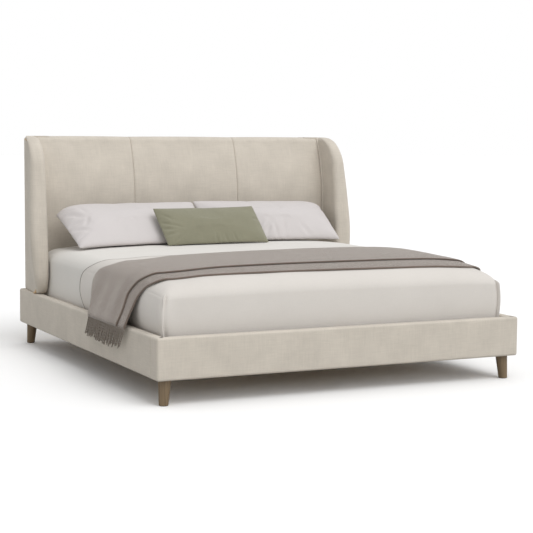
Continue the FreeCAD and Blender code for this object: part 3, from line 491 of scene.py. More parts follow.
PINE = paint(214, 184, 140)
PLY = paint(206, 176, 134)
finish(timber("pine_across", PINE, "x", 0.03, 0.2, 0.6), "foot_rail_core", "head_crossbar", "slats",
       "headboard_bottom_rail", "headboard_middle_rail", "headboard_top_rail")
finish(timber("pine_along", PINE, "y", 0.03, 0.2, 0.6), "side_rail_core_left", "side_rail_core_right",
       "slat_ledger_left", "slat_ledger_right", "centre_beam")
finish(timber("pine_upright", PINE, "z", 0.03, 0.2, 0.6), "headboard_post_left",
       "headboard_post_right", "corner_blocks", "post_packers")
finish(timber("birch_ply", PLY, "z", 0.05, 0.14, 0.55), "headboard_face_board", "wing_frame_left",
       "wing_frame_right")
zinc = metal("zinc_plate", paint(190, 192, 196), 0.36, 1)
finish(zinc, "leg_bolts", "post_bolts", "corner_brackets", "beam_hanger_foot", "beam_hanger_head",
       "leveller_screw_1", "leveller_screw_2", "leveller_screw_3")
finish(metal("black_enamel", paint(38, 38, 40), 0.42, 0.0, 0.3), "centre_leg_1", "centre_leg_2",
       "centre_leg_3")
finish(metal("black_plastic", paint(44, 44, 45), 0.5, 0.0, 0.2, 90), "leveller_pad_1",
       "leveller_pad_2", "leveller_pad_3")
finish(felted("grey_webbing", paint(150, 146, 138)), "slat_webbing")

# Headboard panels -----------------------------------------------------------------------------
# Three foam panels under linen, sewn together in two upright seams. The face stands upright
# behind the pillows, leans back towards the top, and rolls over the crest to the back board.

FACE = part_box("headboard_panel_centre")[0].y
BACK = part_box("headboard_back_panel")[1].y
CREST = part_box("headboard_panel_centre")[1].z
PANEL_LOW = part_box("headboard_panel_centre")[0].z
LEAN_FROM, LEAN_SPAN, LEAN = 0.90, 0.37, 0.085
BOARD_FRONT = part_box("headboard_face_board")[0].y
CREST_ROUND = 0.034
PANEL_DIP, PANEL_ROLL, PANEL_CROWN = 0.006, 0.012, 0.003
PANEL_END = 0.968


def panel_front(height):
    """How far forward a panel's face is at a height."""
    return FACE + LEAN * (max(0.0, height - LEAN_FROM) / LEAN_SPAN) ** 2


def panel_outline():
    """The panel's section as (y, z): its upholstered line first, then the line behind it."""
    crest_low = CREST - CREST_ROUND
    shown = [(panel_front(z), z) for z in np.linspace(PANEL_LOW, crest_low, 34)]
    lip = panel_front(crest_low)
    for turn in np.radians(np.linspace(15, 90, 7)):
        shown.append((lip + 0.055 * (1 - math.cos(turn)), crest_low + CREST_ROUND * math.sin(turn)))
    back_round = 0.022
    far = BACK - 0.002
    shown += [(y, CREST) for y in np.linspace(lip + 0.06, far - back_round, 4)]
    for turn in np.radians(np.linspace(15, 90, 6)):
        shown.append((far - back_round * (1 - math.sin(turn)), CREST - back_round * (1 - math.cos(turn))))
    shown.append((far, CREST - 0.036))
    hidden = [(BACK - 0.0185, CREST - 0.0365), (BACK - 0.0185, CREST - 0.065),
              (BOARD_FRONT - 0.0005, CREST - 0.065), (BOARD_FRONT - 0.0005, PANEL_LOW)]
    return shown, hidden


def panel_loops(low, high):
    """Loops across a panel, drawn in at its two seams and gently crowned between them."""
    shown, hidden = panel_outline()
    line = np.array(shown)
    slope = np.gradient(line, axis=0)
    inward = np.stack([slope[:, 1], -slope[:, 0]], axis=1)
    inward /= np.linalg.norm(inward, axis=1)[:, None]
    width = high - low
    edge = [0, 0.0006, 0.002, 0.0045, 0.008, 0.012, 0.017]
    stops = edge + list(np.linspace(0.03, width - 0.03, 22)) + [width - stop for stop in edge[::-1]]
    loops = []
    for stop in stops:
        from_seam = min(stop, width - stop)
        pull = dip(from_seam, PANEL_DIP, PANEL_ROLL)
        pull += PANEL_CROWN * (1 - math.sin(math.pi * stop / width) ** 0.6)
        drawn = line + inward * pull
        loop = [(low + stop, y, z) for y, z in drawn] + [(low + stop, y, z) for y, z in hidden]
        loops.append(loop)
    return loops


for name in ("left", "centre", "right"):
    low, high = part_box(f"headboard_panel_{name}")
    ends = {"left": (-PANEL_END, high.x), "centre": (low.x, high.x), "right": (low.x, PANEL_END)}[name]
    piece = lofted(f"headboard_linen_{name}", panel_loops(*ends), linen, sharp=50)
    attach(piece, "bed")
    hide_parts(f"headboard_panel_{name}")

# Wings ----------------------------------------------------------------------------------------
# Each wing is a padded linen cover sewn tight over its plywood frame. It stands on the side
# rail, reaches forward past the pillows, flares outwards and curves back to the crest.

WING_REACH, WING_SLOPE = 0.757, 0.083
TOE_HEIGHT, TOE_DEPTH = 0.110, 0.075
BROW_HEIGHT, BROW_DEPTH = 0.171, 0.200
WING_IN, WING_OUT, WING_SEAM = 0.974, 1.058, 0.968
WING_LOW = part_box("wing_cover_right")[0].z
DOME, HEEL = 0.026, 0.008


def smooth_line(places):
    """A smooth curve through a few (where, value) places, as a function."""
    xs, ys = (np.array(part, float) for part in zip(*places))
    slopes = np.gradient(ys, xs)

    def value(x):
        x = np.clip(x, xs[0], xs[-1])
        i = np.clip(np.searchsorted(xs, x, side="right") - 1, 0, len(xs) - 2)
        width = xs[i + 1] - xs[i]
        t = (x - xs[i]) / width
        rise = ys[i] * (1 + 2 * t) * (1 - t) ** 2 + ys[i + 1] * t * t * (3 - 2 * t)
        return rise + width * (slopes[i] * t * (1 - t) ** 2 - slopes[i + 1] * t * t * (1 - t))

    return value


WING_SWELL = smooth_line([(0.337, -0.028), (0.40, -0.004), (0.50, 0.018), (0.64, 0.034), (0.90, 0.026),
                          (1.11, 0.010), (1.22, 0.0), (1.30, 0.0)])
WING_THRUST = smooth_line([(0.337, 0.0), (0.45, 0.028), (0.64, 0.056), (0.90, 0.040), (1.11, 0.012),
                           (1.22, 0.0), (1.30, 0.0)])


def wing_front(height):
    """How far forward the wing's edge is: a curved toe, a leaning line and a curved brow."""
    toe_top, brow = RAIL_TOP + TOE_HEIGHT, CREST - BROW_HEIGHT
    front = WING_REACH + WING_SLOPE * (height - toe_top)
    if height < toe_top:
        front = WING_REACH + TOE_DEPTH * (1 - math.sqrt(1 - ((toe_top - height) / TOE_HEIGHT) ** 2))
    if height > brow:
        share = min(1.0, (height - brow) / BROW_HEIGHT)
        front += BROW_DEPTH * (1 - math.sqrt(1 - share ** 2))
    return front


def wing_loop(side, height):
    """The wing's plan outline at a height."""
    top_part = max(0.0, (height - (CREST - DOME)) / DOME)
    low_part = max(0.0, 1 - (height - WING_LOW) / HEEL)
    inset = DOME * (1 - math.sqrt(max(0, 1 - top_part ** 2))) * 0.9
    inset += HEEL * (1 - math.sqrt(max(0, 1 - low_part ** 2))) * 0.6
    front = wing_front(height) + inset
    beside = min(panel_front(min(height, CREST - 0.01)), BOARD_FRONT - 0.002)
    joint = max(beside - 0.002 + inset, front + 0.004)
    elbow = max(1.030, front + 0.045)
    inner, seam = WING_IN + inset, WING_SEAM + inset * 0.4
    outer = WING_OUT + float(WING_SWELL(height)) - inset
    thrust = float(WING_THRUST(height))
    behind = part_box("wing_cover_right")[0].x
    corners = [(inner, front - 0.012), (outer, front + 0.020 - thrust), (1.020 - inset, elbow),
               (1.006 - inset, BACK - inset), (behind, BACK - inset), (behind, BOARD_FRONT + 0.012),
               (seam, BOARD_FRONT + 0.012), (seam, joint), (inner, joint)]
    radii = (0.030, 0.032, 0.09, 0.022, 0.006, 0.003, 0.003, 0.012, 0.040)
    if joint - front < 0.07:
        radii = radii[:-1] + (0.012,)
    return [(side * x, y, height) for x, y in rounded(corners, radii, steps=8, edge_steps=6)]


brow_start = CREST - BROW_HEIGHT
toe_end = RAIL_TOP + TOE_HEIGHT
levels = [WING_LOW + HEEL * (1 - math.cos(math.radians(turn))) for turn in (0, 25, 50, 75, 90)]
levels += [toe_end - TOE_HEIGHT * math.sin(math.radians(turn)) for turn in (64, 54, 44, 34, 24, 12, 0)]
levels += list(np.linspace(toe_end + 0.04, brow_start - 0.03, 16))
levels += [brow_start + BROW_HEIGHT * math.sin(math.radians(turn)) for turn in range(0, 58, 5)]
levels += [CREST - DOME + DOME * math.sin(math.radians(turn)) for turn in range(0, 91, 6)]
for side, name in ((-1, "left"), (1, "right")):
    piece = lofted(f"wing_linen_{name}", [wing_loop(side, level) for level in sorted(levels)], linen,
                   sharp=60)
    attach(piece, "bed")
    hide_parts(f"wing_cover_{name}")

# Back panel -----------------------------------------------------------------------------------
# A thin board covered in a plain cloth, pinned into the back of the headboard frame.

back_low, back_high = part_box("headboard_back_panel")
back_cloth = woven("plain_back_cloth", paint(196, 188, 176), 0.0009, 0.08, 0.25, 0.1, cloud=0.3)


def back_loops():
    """Loops through the board's thickness, with a soft pinned edge on the outside."""
    middle = (back_low + back_high) / 2
    loops = []
    for y, inset in ((back_low.y, 0.0), (back_high.y - 0.006, 0.0), (back_high.y - 0.0025, 0.0008),
                     (back_high.y - 0.0008, 0.0025), (back_high.y, 0.006), (back_high.y - 0.0006, 0.03),
                     (back_high.y - 0.0006, 0.2)):
        half_x, half_z = back_high.x - inset, (back_high.z - back_low.z) / 2 - inset
        corners = [(-half_x, -half_z), (half_x, -half_z), (half_x, half_z), (-half_x, half_z)]
        outline = rounded(corners, [0.012] * 4, steps=6, edge_steps=12)
        loops.append([(x, y, middle.z + z) for x, z in outline])
    return loops


piece = lofted("headboard_back_cloth", back_loops(), back_cloth, sharp=50)
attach(piece, "bed")
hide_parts("headboard_back_panel")

# Mattress -------------------------------------------------------------------------------------
# A sprung mattress in quilted ticking with piped edges, under a fitted cotton sheet that
# reaches down to the mattress's lower edge.

MATTRESS_LOW, MATTRESS_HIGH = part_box("mattress")
BED_TOP = MATTRESS_HIGH.z
SHOULDER = 0.085
SQUARENESS = 5
FLAT_X = MATTRESS_HIGH.x - SHOULDER
FLAT_FOOT, FLAT_HEAD = MATTRESS_LOW.y + SHOULDER, MATTRESS_HIGH.y - SHOULDER
ROUND_OVER = SHOULDER * math.pi / 2


def crown(x, y):
    """How the bedding's top rises to its middle and falls away at the foot and head."""
    across = np.clip(1 - (np.abs(x) / 0.96) ** 2.6, 0, 1)
    along = np.clip((y - MATTRESS_LOW.y) / 0.95, 0, 1)
    foot = 0.024 * (1 - along) ** 1.5 + 0.034 * (1 - along) ** 6
    head = 0.012 * np.clip((y - 0.55) / 0.4, 0, 1)
    edge = 0.013 * np.clip((np.abs(x) - 0.66) / 0.30, 0, 1) ** 2
    return 0.018 * across - foot - head - edge


def on_bed(across, along, lift):
    """Where cloth lies on the bed: flat across the top, round the shoulders, down the sides.

    across and along are distances over the cloth from the middle of the bed, and lift is how
    far the cloth is above the mattress."""
    x0 = np.clip(across, -FLAT_X, FLAT_X)
    y0 = np.clip(along, FLAT_FOOT, FLAT_HEAD)
    over_x, over_y = np.abs(across - x0), np.abs(along - y0)
    over = np.maximum(over_x, over_y)
    turn = np.minimum(over_x, over_y) / np.maximum(over, 1e-9) * math.pi / 4
    major, minor = np.cos(turn) ** (2 / SQUARENESS), np.sin(turn) ** (2 / SQUARENESS)
    share_x = np.where(over_x >= over_y, major, minor)
    share_y = np.where(over_x >= over_y, minor, major)
    bend = np.minimum(over, ROUND_OVER) / SHOULDER
    out = (SHOULDER + lift) * np.sin(bend)
    down = (SHOULDER + lift) * np.cos(bend) - SHOULDER - np.maximum(over - ROUND_OVER, 0)
    x = x0 + np.where(over_x > 0, np.sign(across - x0) * share_x * out, 0)
    y = y0 + np.where(over_y > 0, np.sign(along - y0) * share_y * out, 0)
    past = np.maximum(over - ROUND_OVER, 0)
    height = crown(x, y) * np.where(past > 0, 0.35 * np.clip(1 - past / 0.25, 0, 1),
                                    0.35 + 0.65 * np.clip(np.cos(bend), 0, 1))
    return np.stack([x, y, BED_TOP + down + height], axis=-1)


def ripples(points, size, height, seed):
    """Soft uneven movement in cloth: a height for each point, always the same."""
    flat = points.reshape(-1, 3)
    moves = [noise.noise((Vector(spot) + Vector((seed, 0, 0))) / size) * height for spot in flat]
    return np.array(moves).reshape(points.shape[:-1])


def outward(grid):
    """Unit normals of a grid of points, away from the bed."""
    down, over = np.gradient(grid, axis=0), np.gradient(grid, axis=1)
    normal = np.cross(down, over)
    normal /= np.maximum(np.linalg.norm(normal, axis=-1), 1e-9)[..., None]
    middle = np.array([0, 0, 0.3])
    wrong = ((grid - middle) * normal).sum() < 0
    return -normal if wrong else normal


def cloth_piece(name, grid, flat, material, thickness=0.0, offset=1):
    """A cloth from a grid of points and their places on the flat cut."""
    rows, columns = grid.shape[:2]
    faces, uv = [], []
    for i in range(rows - 1):
        for j in range(columns - 1):
            ring = [(i, j), (i, j + 1), (i + 1, j + 1), (i + 1, j)]
            faces.append([a * columns + b for a, b in ring])
            uv.extend([flat[a, b] for a, b in ring])
    piece = new_piece(name, grid.reshape(-1, 3), faces, uv, material)
    mesh = piece.data
    normals = outward(grid).reshape(-1, 3)
    facing = sum(polygon.normal.dot(Vector(normals[polygon.vertices[0]]))
                 for polygon in list(mesh.polygons)[::97] if polygon.vertices[0] < len(normals))
    if facing < 0:
        mesh.flip_normals()
    if thickness:
        body = piece.modifiers.new("thickness", "SOLIDIFY")
        body.thickness = thickness
        body.offset = offset
        body.use_even_offset = False
    return piece


def spread(low, high, step, around=()):
    """Evenly spaced places from low to high, closer together around the given ones."""
    places = list(np.linspace(low, high, max(2, round((high - low) / step))))
    for middle, reach in around:
        places += list(np.linspace(middle - reach, middle + reach, 12))
    places = sorted(place for place in places if low <= place <= high)
    kept = [places[0]]
    for place in places[1:]:
        if place - kept[-1] > 0.002:
            kept.append(place)
    return np.array(kept)


def mattress_piece(name, material):
    """The mattress: its quilted top and sides in one grid, a piping round each edge, a flat base."""
    past = BED_TOP - MATTRESS_LOW.z - SHOULDER
    pipes = [(ROUND_OVER * 0.8, 0.006), (ROUND_OVER + past - 0.03, 0.006)]
    across = spread(-FLAT_X - ROUND_OVER - past, FLAT_X + ROUND_OVER + past, 0.016,
                    [(side * (FLAT_X + at), reach) for side in (-1, 1) for at, reach in pipes])
    along = spread(FLAT_FOOT - ROUND_OVER - past, FLAT_HEAD + ROUND_OVER + past, 0.016,
                   [(FLAT_FOOT - at, reach) for at, reach in pipes]
                   + [(FLAT_HEAD + at, reach) for at, reach in pipes])
    flat = np.stack(np.meshgrid(across, along, indexing="ij"), axis=-1)
    over = np.maximum(np.abs(flat[..., 0]) - FLAT_X,
                      np.maximum(FLAT_FOOT - flat[..., 1], flat[..., 1] - FLAT_HEAD))
    lattice = np.sin((flat[..., 0] + flat[..., 1]) * math.pi / 0.14)
    lattice = lattice * np.sin((flat[..., 0] - flat[..., 1]) * math.pi / 0.14)
    lift = -0.006 - 0.006 * (1 - np.abs(lattice) ** 0.35) * np.clip(0.02 - over, 0, 0.02) / 0.02
    for at, reach in pipes:
        lift = lift + 0.0035 * np.sqrt(np.clip(1 - ((over - at) / reach) ** 2, 0, 1))
    grid = on_bed(flat[..., 0], flat[..., 1], lift)
    rows, columns = grid.shape[:2]
    faces, uv = [], []
    for i in range(rows - 1):
        for j in range(columns - 1):
            ring = [(i, j), (i + 1, j), (i + 1, j + 1), (i, j + 1)]
            faces.append([a * columns + b for a, b in ring])
            uv.extend([flat[a, b] for a, b in ring])
    rim = [(0, j) for j in range(columns)] + [(i, columns - 1) for i in range(1, rows)]
    rim += [(rows - 1, j) for j in range(columns - 2, -1, -1)] + [(i, 0) for i in range(rows - 2, 0, -1)]
    faces.append([a * columns + b for a, b in rim])
    uv.extend([grid[a, b, :2] for a, b in rim])
    return new_piece(name, grid.reshape(-1, 3), faces, uv, material)


ticking = woven("damask_ticking", paint(226, 224, 220), 0.0006, 0.05, 0.2, 0.2, rib=1.0)
piece = mattress_piece("sprung_mattress", ticking)
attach(piece, "bed")
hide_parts("mattress")

SHEET_LIFT = 0.0012
drop = BED_TOP - MATTRESS_LOW.z - SHOULDER
reach_x = FLAT_X + ROUND_OVER + drop
foot_reach, head_reach = FLAT_FOOT - ROUND_OVER - drop, FLAT_HEAD + ROUND_OVER + drop
corner_x = [(side * (FLAT_X + ROUND_OVER / 2), 0.07) for side in (-1, 1)]
across = spread(-reach_x, reach_x, 0.018, corner_x)
along = spread(foot_reach, head_reach, 0.018, [(FLAT_FOOT - 0.07, 0.07), (FLAT_HEAD + 0.07, 0.07)])
flat = np.stack(np.meshgrid(across, along, indexing="ij"), axis=-1)
grid = on_bed(flat[..., 0], flat[..., 1], SHEET_LIFT)
grid[..., 2] = np.maximum(grid[..., 2], MATTRESS_LOW.z + 0.004)
grid += outward(grid) * ripples(grid, 0.16, 0.0012, 5.0)[..., None]
cotton = woven("white_percale", paint(220, 217, 212), 0.0004, 0.035, 0.15, 0.15, slub=0.3, cloud=0.4,
               cloud_size=0.25, roughness=0.8)
piece = cloth_piece("fitted_cotton_sheet", grid, flat, cotton, thickness=0.0008)
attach(piece, "bed")
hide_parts("fitted_sheet")

# Coverlet -------------------------------------------------------------------------------------
# A plain heavy cotton cover, tucked between the mattress and the rails along the sides and the
# foot. Each foot corner is folded to an upright pleat. Its head edge lies open, and the last row
# along it is painted dark taupe as the shade line under that edge.

COVER_LIFT, COVER_THICK = 0.0048, 0.004
TUCK = RAIL_TOP - 0.012


cover_drop = BED_TOP - TUCK - SHOULDER
cover_x = FLAT_X + ROUND_OVER + cover_drop
cover_foot = FLAT_FOOT - ROUND_OVER - cover_drop
head_edge = smooth_line([(-1.25, 0.06), (-1.10, 0.14), (-1.00, 0.11), (-0.95, 0.01), (-0.87, -0.12),
                         (-0.70, -0.177), (-0.30, -0.18), (0.40, -0.14), (0.80, -0.14), (0.88, -0.09),
                         (0.96, 0.03), (1.02, 0.12), (1.12, 0.14), (1.25, 0.07)])
fold_line = smooth_line([(0.0, 1.06), (0.12, 1.0), (0.35, 1.03), (0.6, 1.06), (1.0, 1.0)])
PLEAT_RISE = 0.014


def fullness(across, along):
    """How far the loosely tucked cloth stands off below the shoulders."""
    out_x, out_y = np.abs(across) - FLAT_X, FLAT_FOOT - along
    fall = np.clip((np.maximum(out_x, out_y) - 0.12) / (ROUND_OVER + cover_drop - 0.12), 0, 1)
    share = np.clip(out_x / np.maximum(out_y, 1e-6), 0, 1)
    at_head = np.clip((0.45 - along) / 0.5, 0, 1)
    side_rise = np.where(across < 0, 0.017, 0.002)
    return np.sin(math.pi * fall) * (0.004 + side_rise * share * at_head)


def corner_cut(turn, over):
    """Distances over the cloth at a foot corner: turn 0 faces the foot, 1 the corner, 2 the side."""
    out_x = over * np.clip(turn, 0, 1)
    out_y = over * np.clip(2 - turn, 0, 1)
    return FLAT_X + out_x, FLAT_FOOT - out_y + np.maximum(turn - 2, 0) * 0.25


def pleat_pull(across, along):
    """How far the foot's cloth is drawn in beside the pleat, over the cut's places."""
    out_x, out_y = np.abs(across) - FLAT_X, FLAT_FOOT - along
    over = np.maximum(out_x, out_y)
    turn = np.where(out_y >= out_x, out_x / np.maximum(out_y, 1e-6), 2 - out_y / np.maximum(out_x, 1e-6))
    low = np.clip((over - 0.085) / 0.06, 0, 1)
    drawn = 0.005 * np.exp(-((turn - 0.84) / 0.20) ** 2) + 0.013 * np.exp(-((turn - 0.955) / 0.05) ** 2)
    return -low * drawn * (np.minimum(out_x, out_y) > -0.02)


def pleat_loops(side):
    """The folded flap at one foot corner: loops down it, each round the flap's thickness."""
    longest = ROUND_OVER + cover_drop
    loops = []
    for share in np.linspace(0, 1, 46):
        over = 0.092 + (longest - 0.092) * share
        fold = float(fold_line(share))
        reach = 1.25 * min(1, share / 0.5) ** 0.7 + 0.03
        rise = PLEAT_RISE * min(1, share / 0.12) ** 0.6
        outer = []
        for turn in np.radians(np.linspace(-90, 90, 9)):
            outer.append((fold + 0.045 * (1 - math.cos(turn)), rise * (0.5 + 0.5 * math.sin(turn))))
        for step in np.linspace(0.06, 1, 16):
            outer.append((fold + 0.045 + reach * step, rise * (1 - step) ** 1.5 - 0.0012 * step))
        inner = [(fold + 0.045 + reach * step, -0.0016) for step in np.linspace(1, 0.05, 6)]
        loop = []
        for turn, lift in outer + inner:
            across_at, along_at = corner_cut(turn, over)
            full = float(fullness(across_at, along_at))
            loop.append(on_bed(np.array(side * across_at), np.array(along_at),
                               np.array(COVER_LIFT + COVER_THICK - 0.0004 + full + lift)))
        loops.append(loop)
    return loops


across = spread(-cover_x, cover_x, 0.016, [(side * (FLAT_X + at), 0.024) for side in (-1, 1)
                                            for at in np.arange(0.0, 0.34, 0.048)])
columns = []
for place in across:
    top_edge = float(head_edge(place))
    line = spread(cover_foot, FLAT_FOOT, 0.005)
    rest = list(np.linspace(FLAT_FOOT, top_edge - 0.009, 56)[1:]) + [top_edge]
    columns.append([(place, stop) for stop in list(line) + list(rest)])
flat = np.array(columns)
grid = on_bed(flat[..., 0], flat[..., 1], COVER_LIFT + fullness(flat[..., 0], flat[..., 1]))
movement = ripples(grid, 0.22, 0.0022, 9.0) + ripples(grid, 0.06, 0.0005, 2.0)
movement += pleat_pull(flat[..., 0], flat[..., 1])
movement[:, -2:] += 0.0022
grid += outward(grid) * movement[..., None]
cover_cotton = woven("coverlet_cotton", paint(213, 208, 202), 0.0007, 0.045, 0.2, 0.2, slub=0.4,
                     cloud=0.5, cloud_size=0.3, roughness=0.85)
# A dark taupe cotton for the head edge's last row: painted shade for the shadow line under the raised edge.
edge_shade_strip = woven("edge_shade_cotton", paint(104, 96, 86), 0.0007, 0.05, 0.2, 0.1)
piece = cloth_piece("cotton_coverlet", grid, flat, cover_cotton)
piece.data.materials.append(edge_shade_strip)
last_row = flat.shape[1] - 2
# The faces of that last row take the painted edge shade.
for number, polygon in enumerate(piece.data.polygons):
    polygon.material_index = int(number % (flat.shape[1] - 1) == last_row)
shell = piece.modifiers.new("thickness", "SOLIDIFY")
shell.thickness = COVER_THICK
shell.offset = 1
graph = bpy.context.evaluated_depsgraph_get()
cover_mesh = bpy.data.meshes.new_from_object(piece.evaluated_get(graph))
piece.modifiers.remove(shell)
flaps = [lofted(f"flap_{side}", pleat_loops(side), cover_cotton, sharp=None) for side in (-1, 1)]
cover_body = bmesh.new()
cover_body.from_mesh(cover_mesh)
for flap in flaps:
    cover_body.from_mesh(flap.data)
    bpy.data.objects.remove(flap)
cover_body.to_mesh(piece.data)
cover_body.free()
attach(piece, "bed")
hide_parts("coverlet")

# Throw ----------------------------------------------------------------------------------------
# A taupe wool throw, folded lengthwise with one half set back so that both long edges show. It
# lies across the bed, hangs over the side rails, and has a fringe at each end.

THROW_LEAVE = math.radians(70.5)
OVER_RAIL_X, OVER_RAIL_Z = 1.047, 0.352
RAIL_BEND = 0.03
LOWER_LIFT, UPPER_LIFT = 0.0165, 0.0185
WOOL_THICK = 0.0068
HEM = 1.255


def over_side(side, lift):
    """The throw's path across: distances along it as x and z, past the shoulder to the hem."""
    radius = SHOULDER + lift
    arc = radius * THROW_LEAVE
    leave_x = FLAT_X + radius * math.sin(THROW_LEAVE)
    leave_z = BED_TOP - SHOULDER + radius * math.cos(THROW_LEAVE)
    run_x, run_z = OVER_RAIL_X + lift - leave_x, leave_z - OVER_RAIL_Z
    run = math.hypot(run_x, run_z)
    lean = math.atan2(run_x, run_z)
    bend = RAIL_BEND * lean
    past = side - FLAT_X
    x = np.where(past < 0, side, FLAT_X + radius * np.sin(np.clip(past, 0, arc) / radius))
    z = np.where(past < 0, BED_TOP + lift,
                 BED_TOP - SHOULDER + radius * np.cos(np.clip(past, 0, arc) / radius))
    straight = np.clip(past - arc, 0, run)
    x = x + straight * math.sin(lean)
    z = z - straight * math.cos(lean)
    turned = np.clip(past - arc - run, 0, bend) / RAIL_BEND
    x = x + RAIL_BEND * (np.cos(lean - turned) - math.cos(lean))
    z = z - RAIL_BEND * (math.sin(lean) - np.sin(lean - turned))
    z = z - np.maximum(past - arc - run - bend, 0)
    return x, z


def throw_at(across, along, lift):
    """Where the throw lies: over the top like the coverlet, then clear of the side to the rail."""
    x, z = over_side(np.abs(across), lift)
    x = np.sign(across) * x
    share = np.clip(1 - (np.abs(across) - FLAT_X) / 0.2, 0, 1)
    return np.stack([x, along + 0 * x, z + crown(x, along) * share], axis=-1)


def mirrored_line(places):
    """The same edge at the other end of the throw, mirrored across the bed."""
    return [(-x, y) for x, y in places[::-1]]


UPPER_FRONT = [(-1.26, -0.69), (-1.17, -0.702), (-1.07, -0.695), (-1.01, -0.735), (-0.95, -0.80),
               (-0.88, -0.828), (-0.50, -0.82), (0.13, -0.815), (0.45, -0.805), (0.80, -0.785),
               (0.90, -0.79), (0.97, -0.775), (1.05, -0.72), (1.15, -0.70), (1.26, -0.70)]
LOWER_FRONT = [(-1.26, -0.787), (-1.14, -0.798), (-1.07, -0.815), (-1.02, -0.845), (-0.96, -0.915),
               (-0.87, -0.951), (-0.70, -0.955), (-0.20, -0.97), (0.60, -0.972), (0.88, -0.955),
               (0.97, -0.925), (1.05, -0.84), (1.15, -0.80), (1.26, -0.79)]
THROW_HEAD = [(-1.26, -0.25), (-1.17, -0.218), (-1.12, -0.178), (-1.06, -0.133), (-1.00, -0.155),
              (-0.94, -0.29), (-0.87, -0.352), (-0.60, -0.325), (-0.20, -0.277), (0.30, -0.23),
              (0.80, -0.20), (0.90, -0.215), (1.0, -0.19), (1.10, -0.16), (1.26, -0.22)]


def throw_layers():
    """Rows across the folded throw: the upper half, the fold at the head side, the lower half."""
    upper, lower, fold = (smooth_line(places) for places in (UPPER_FRONT, LOWER_FRONT, THROW_HEAD))
    across = spread(-HEM, HEM, 0.015, [(-1.0, 0.12), (1.0, 0.12)])
    grid, flat = [], []
    for place in across:
        column, cut = [], []
        back = float(fold(place))
        front = float(upper(place))
        for share in np.linspace(0, 1, 34):
            stop = front + (back - 0.004 - front) * share
            column.append(throw_at(np.array(place), np.array(stop), UPPER_LIFT))
            cut.append((place, 0.6 - share * (back - front)))
        for turn in range(30, 180, 30):
            angle = math.radians(turn)
            middle, half = (UPPER_LIFT + LOWER_LIFT) / 2, (UPPER_LIFT - LOWER_LIFT) / 2
            stop = back - 0.004 + 0.005 * math.sin(angle)
            column.append(throw_at(np.array(place), np.array(stop), middle + half * math.cos(angle)))
            cut.append((place, 0.6 - (back - front) - turn * 0.00005))
        near = float(lower(place))
        for share in np.linspace(0, 1, 44):
            stop = back - 0.004 - (back - 0.004 - near) * share
            column.append(throw_at(np.array(place), np.array(stop), LOWER_LIFT))
            cut.append((place, 0.59 - (back - front) - share * (back - near)))
        grid.append(column)
        flat.append(cut)
    return np.array(grid), np.array(flat)


def throw_movement(grid):
    """Slow undulation that both halves share, stronger where the throw hangs."""
    hanging = np.clip((np.abs(grid[..., 0]) - 0.93) / 0.08, 0, 1)
    keyed = grid.copy()
    keyed[..., 2] *= 0.25
    keyed[..., 0] *= 0.55
    moves = ripples(keyed, 0.13, 1.0, 31.0)
    return moves * (0.0010 + 0.0030 * hanging) + 0.0010


wool = woven("taupe_wool", paint(116, 103, 94), 0.0014, 0.10, 0.4, 1.0, slub=0.45, cloud=0.4,
             cloud_size=0.2, roughness=1.0, nap=0.42, fuzz=(1, 0.95, 0.90, 1))
grid, flat = throw_layers()
rise = throw_movement(grid)
upright = np.clip((np.abs(grid[..., 0]) - 0.95) / 0.05, 0, 1)
grid[..., 0] += np.sign(grid[..., 0]) * rise * upright
grid[..., 2] += rise * (1 - upright)
piece = cloth_piece("wool_throw", grid, flat, wool, thickness=WOOL_THICK, offset=-1)
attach(piece, "bed")
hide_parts("throw_blanket")
throw_hems = {side: grid[0 if side < 0 else -1] for side in (-1, 1)}

# Fringe ---------------------------------------------------------------------------------------
# The throw's warp ends, twisted into cords along both hems. They hang over the side rails and
# lean towards the head of the bed.

STRAND_LENGTH, STRAND_WIDTH, STRAND_GAP = 0.120, 0.0098, 0.0132


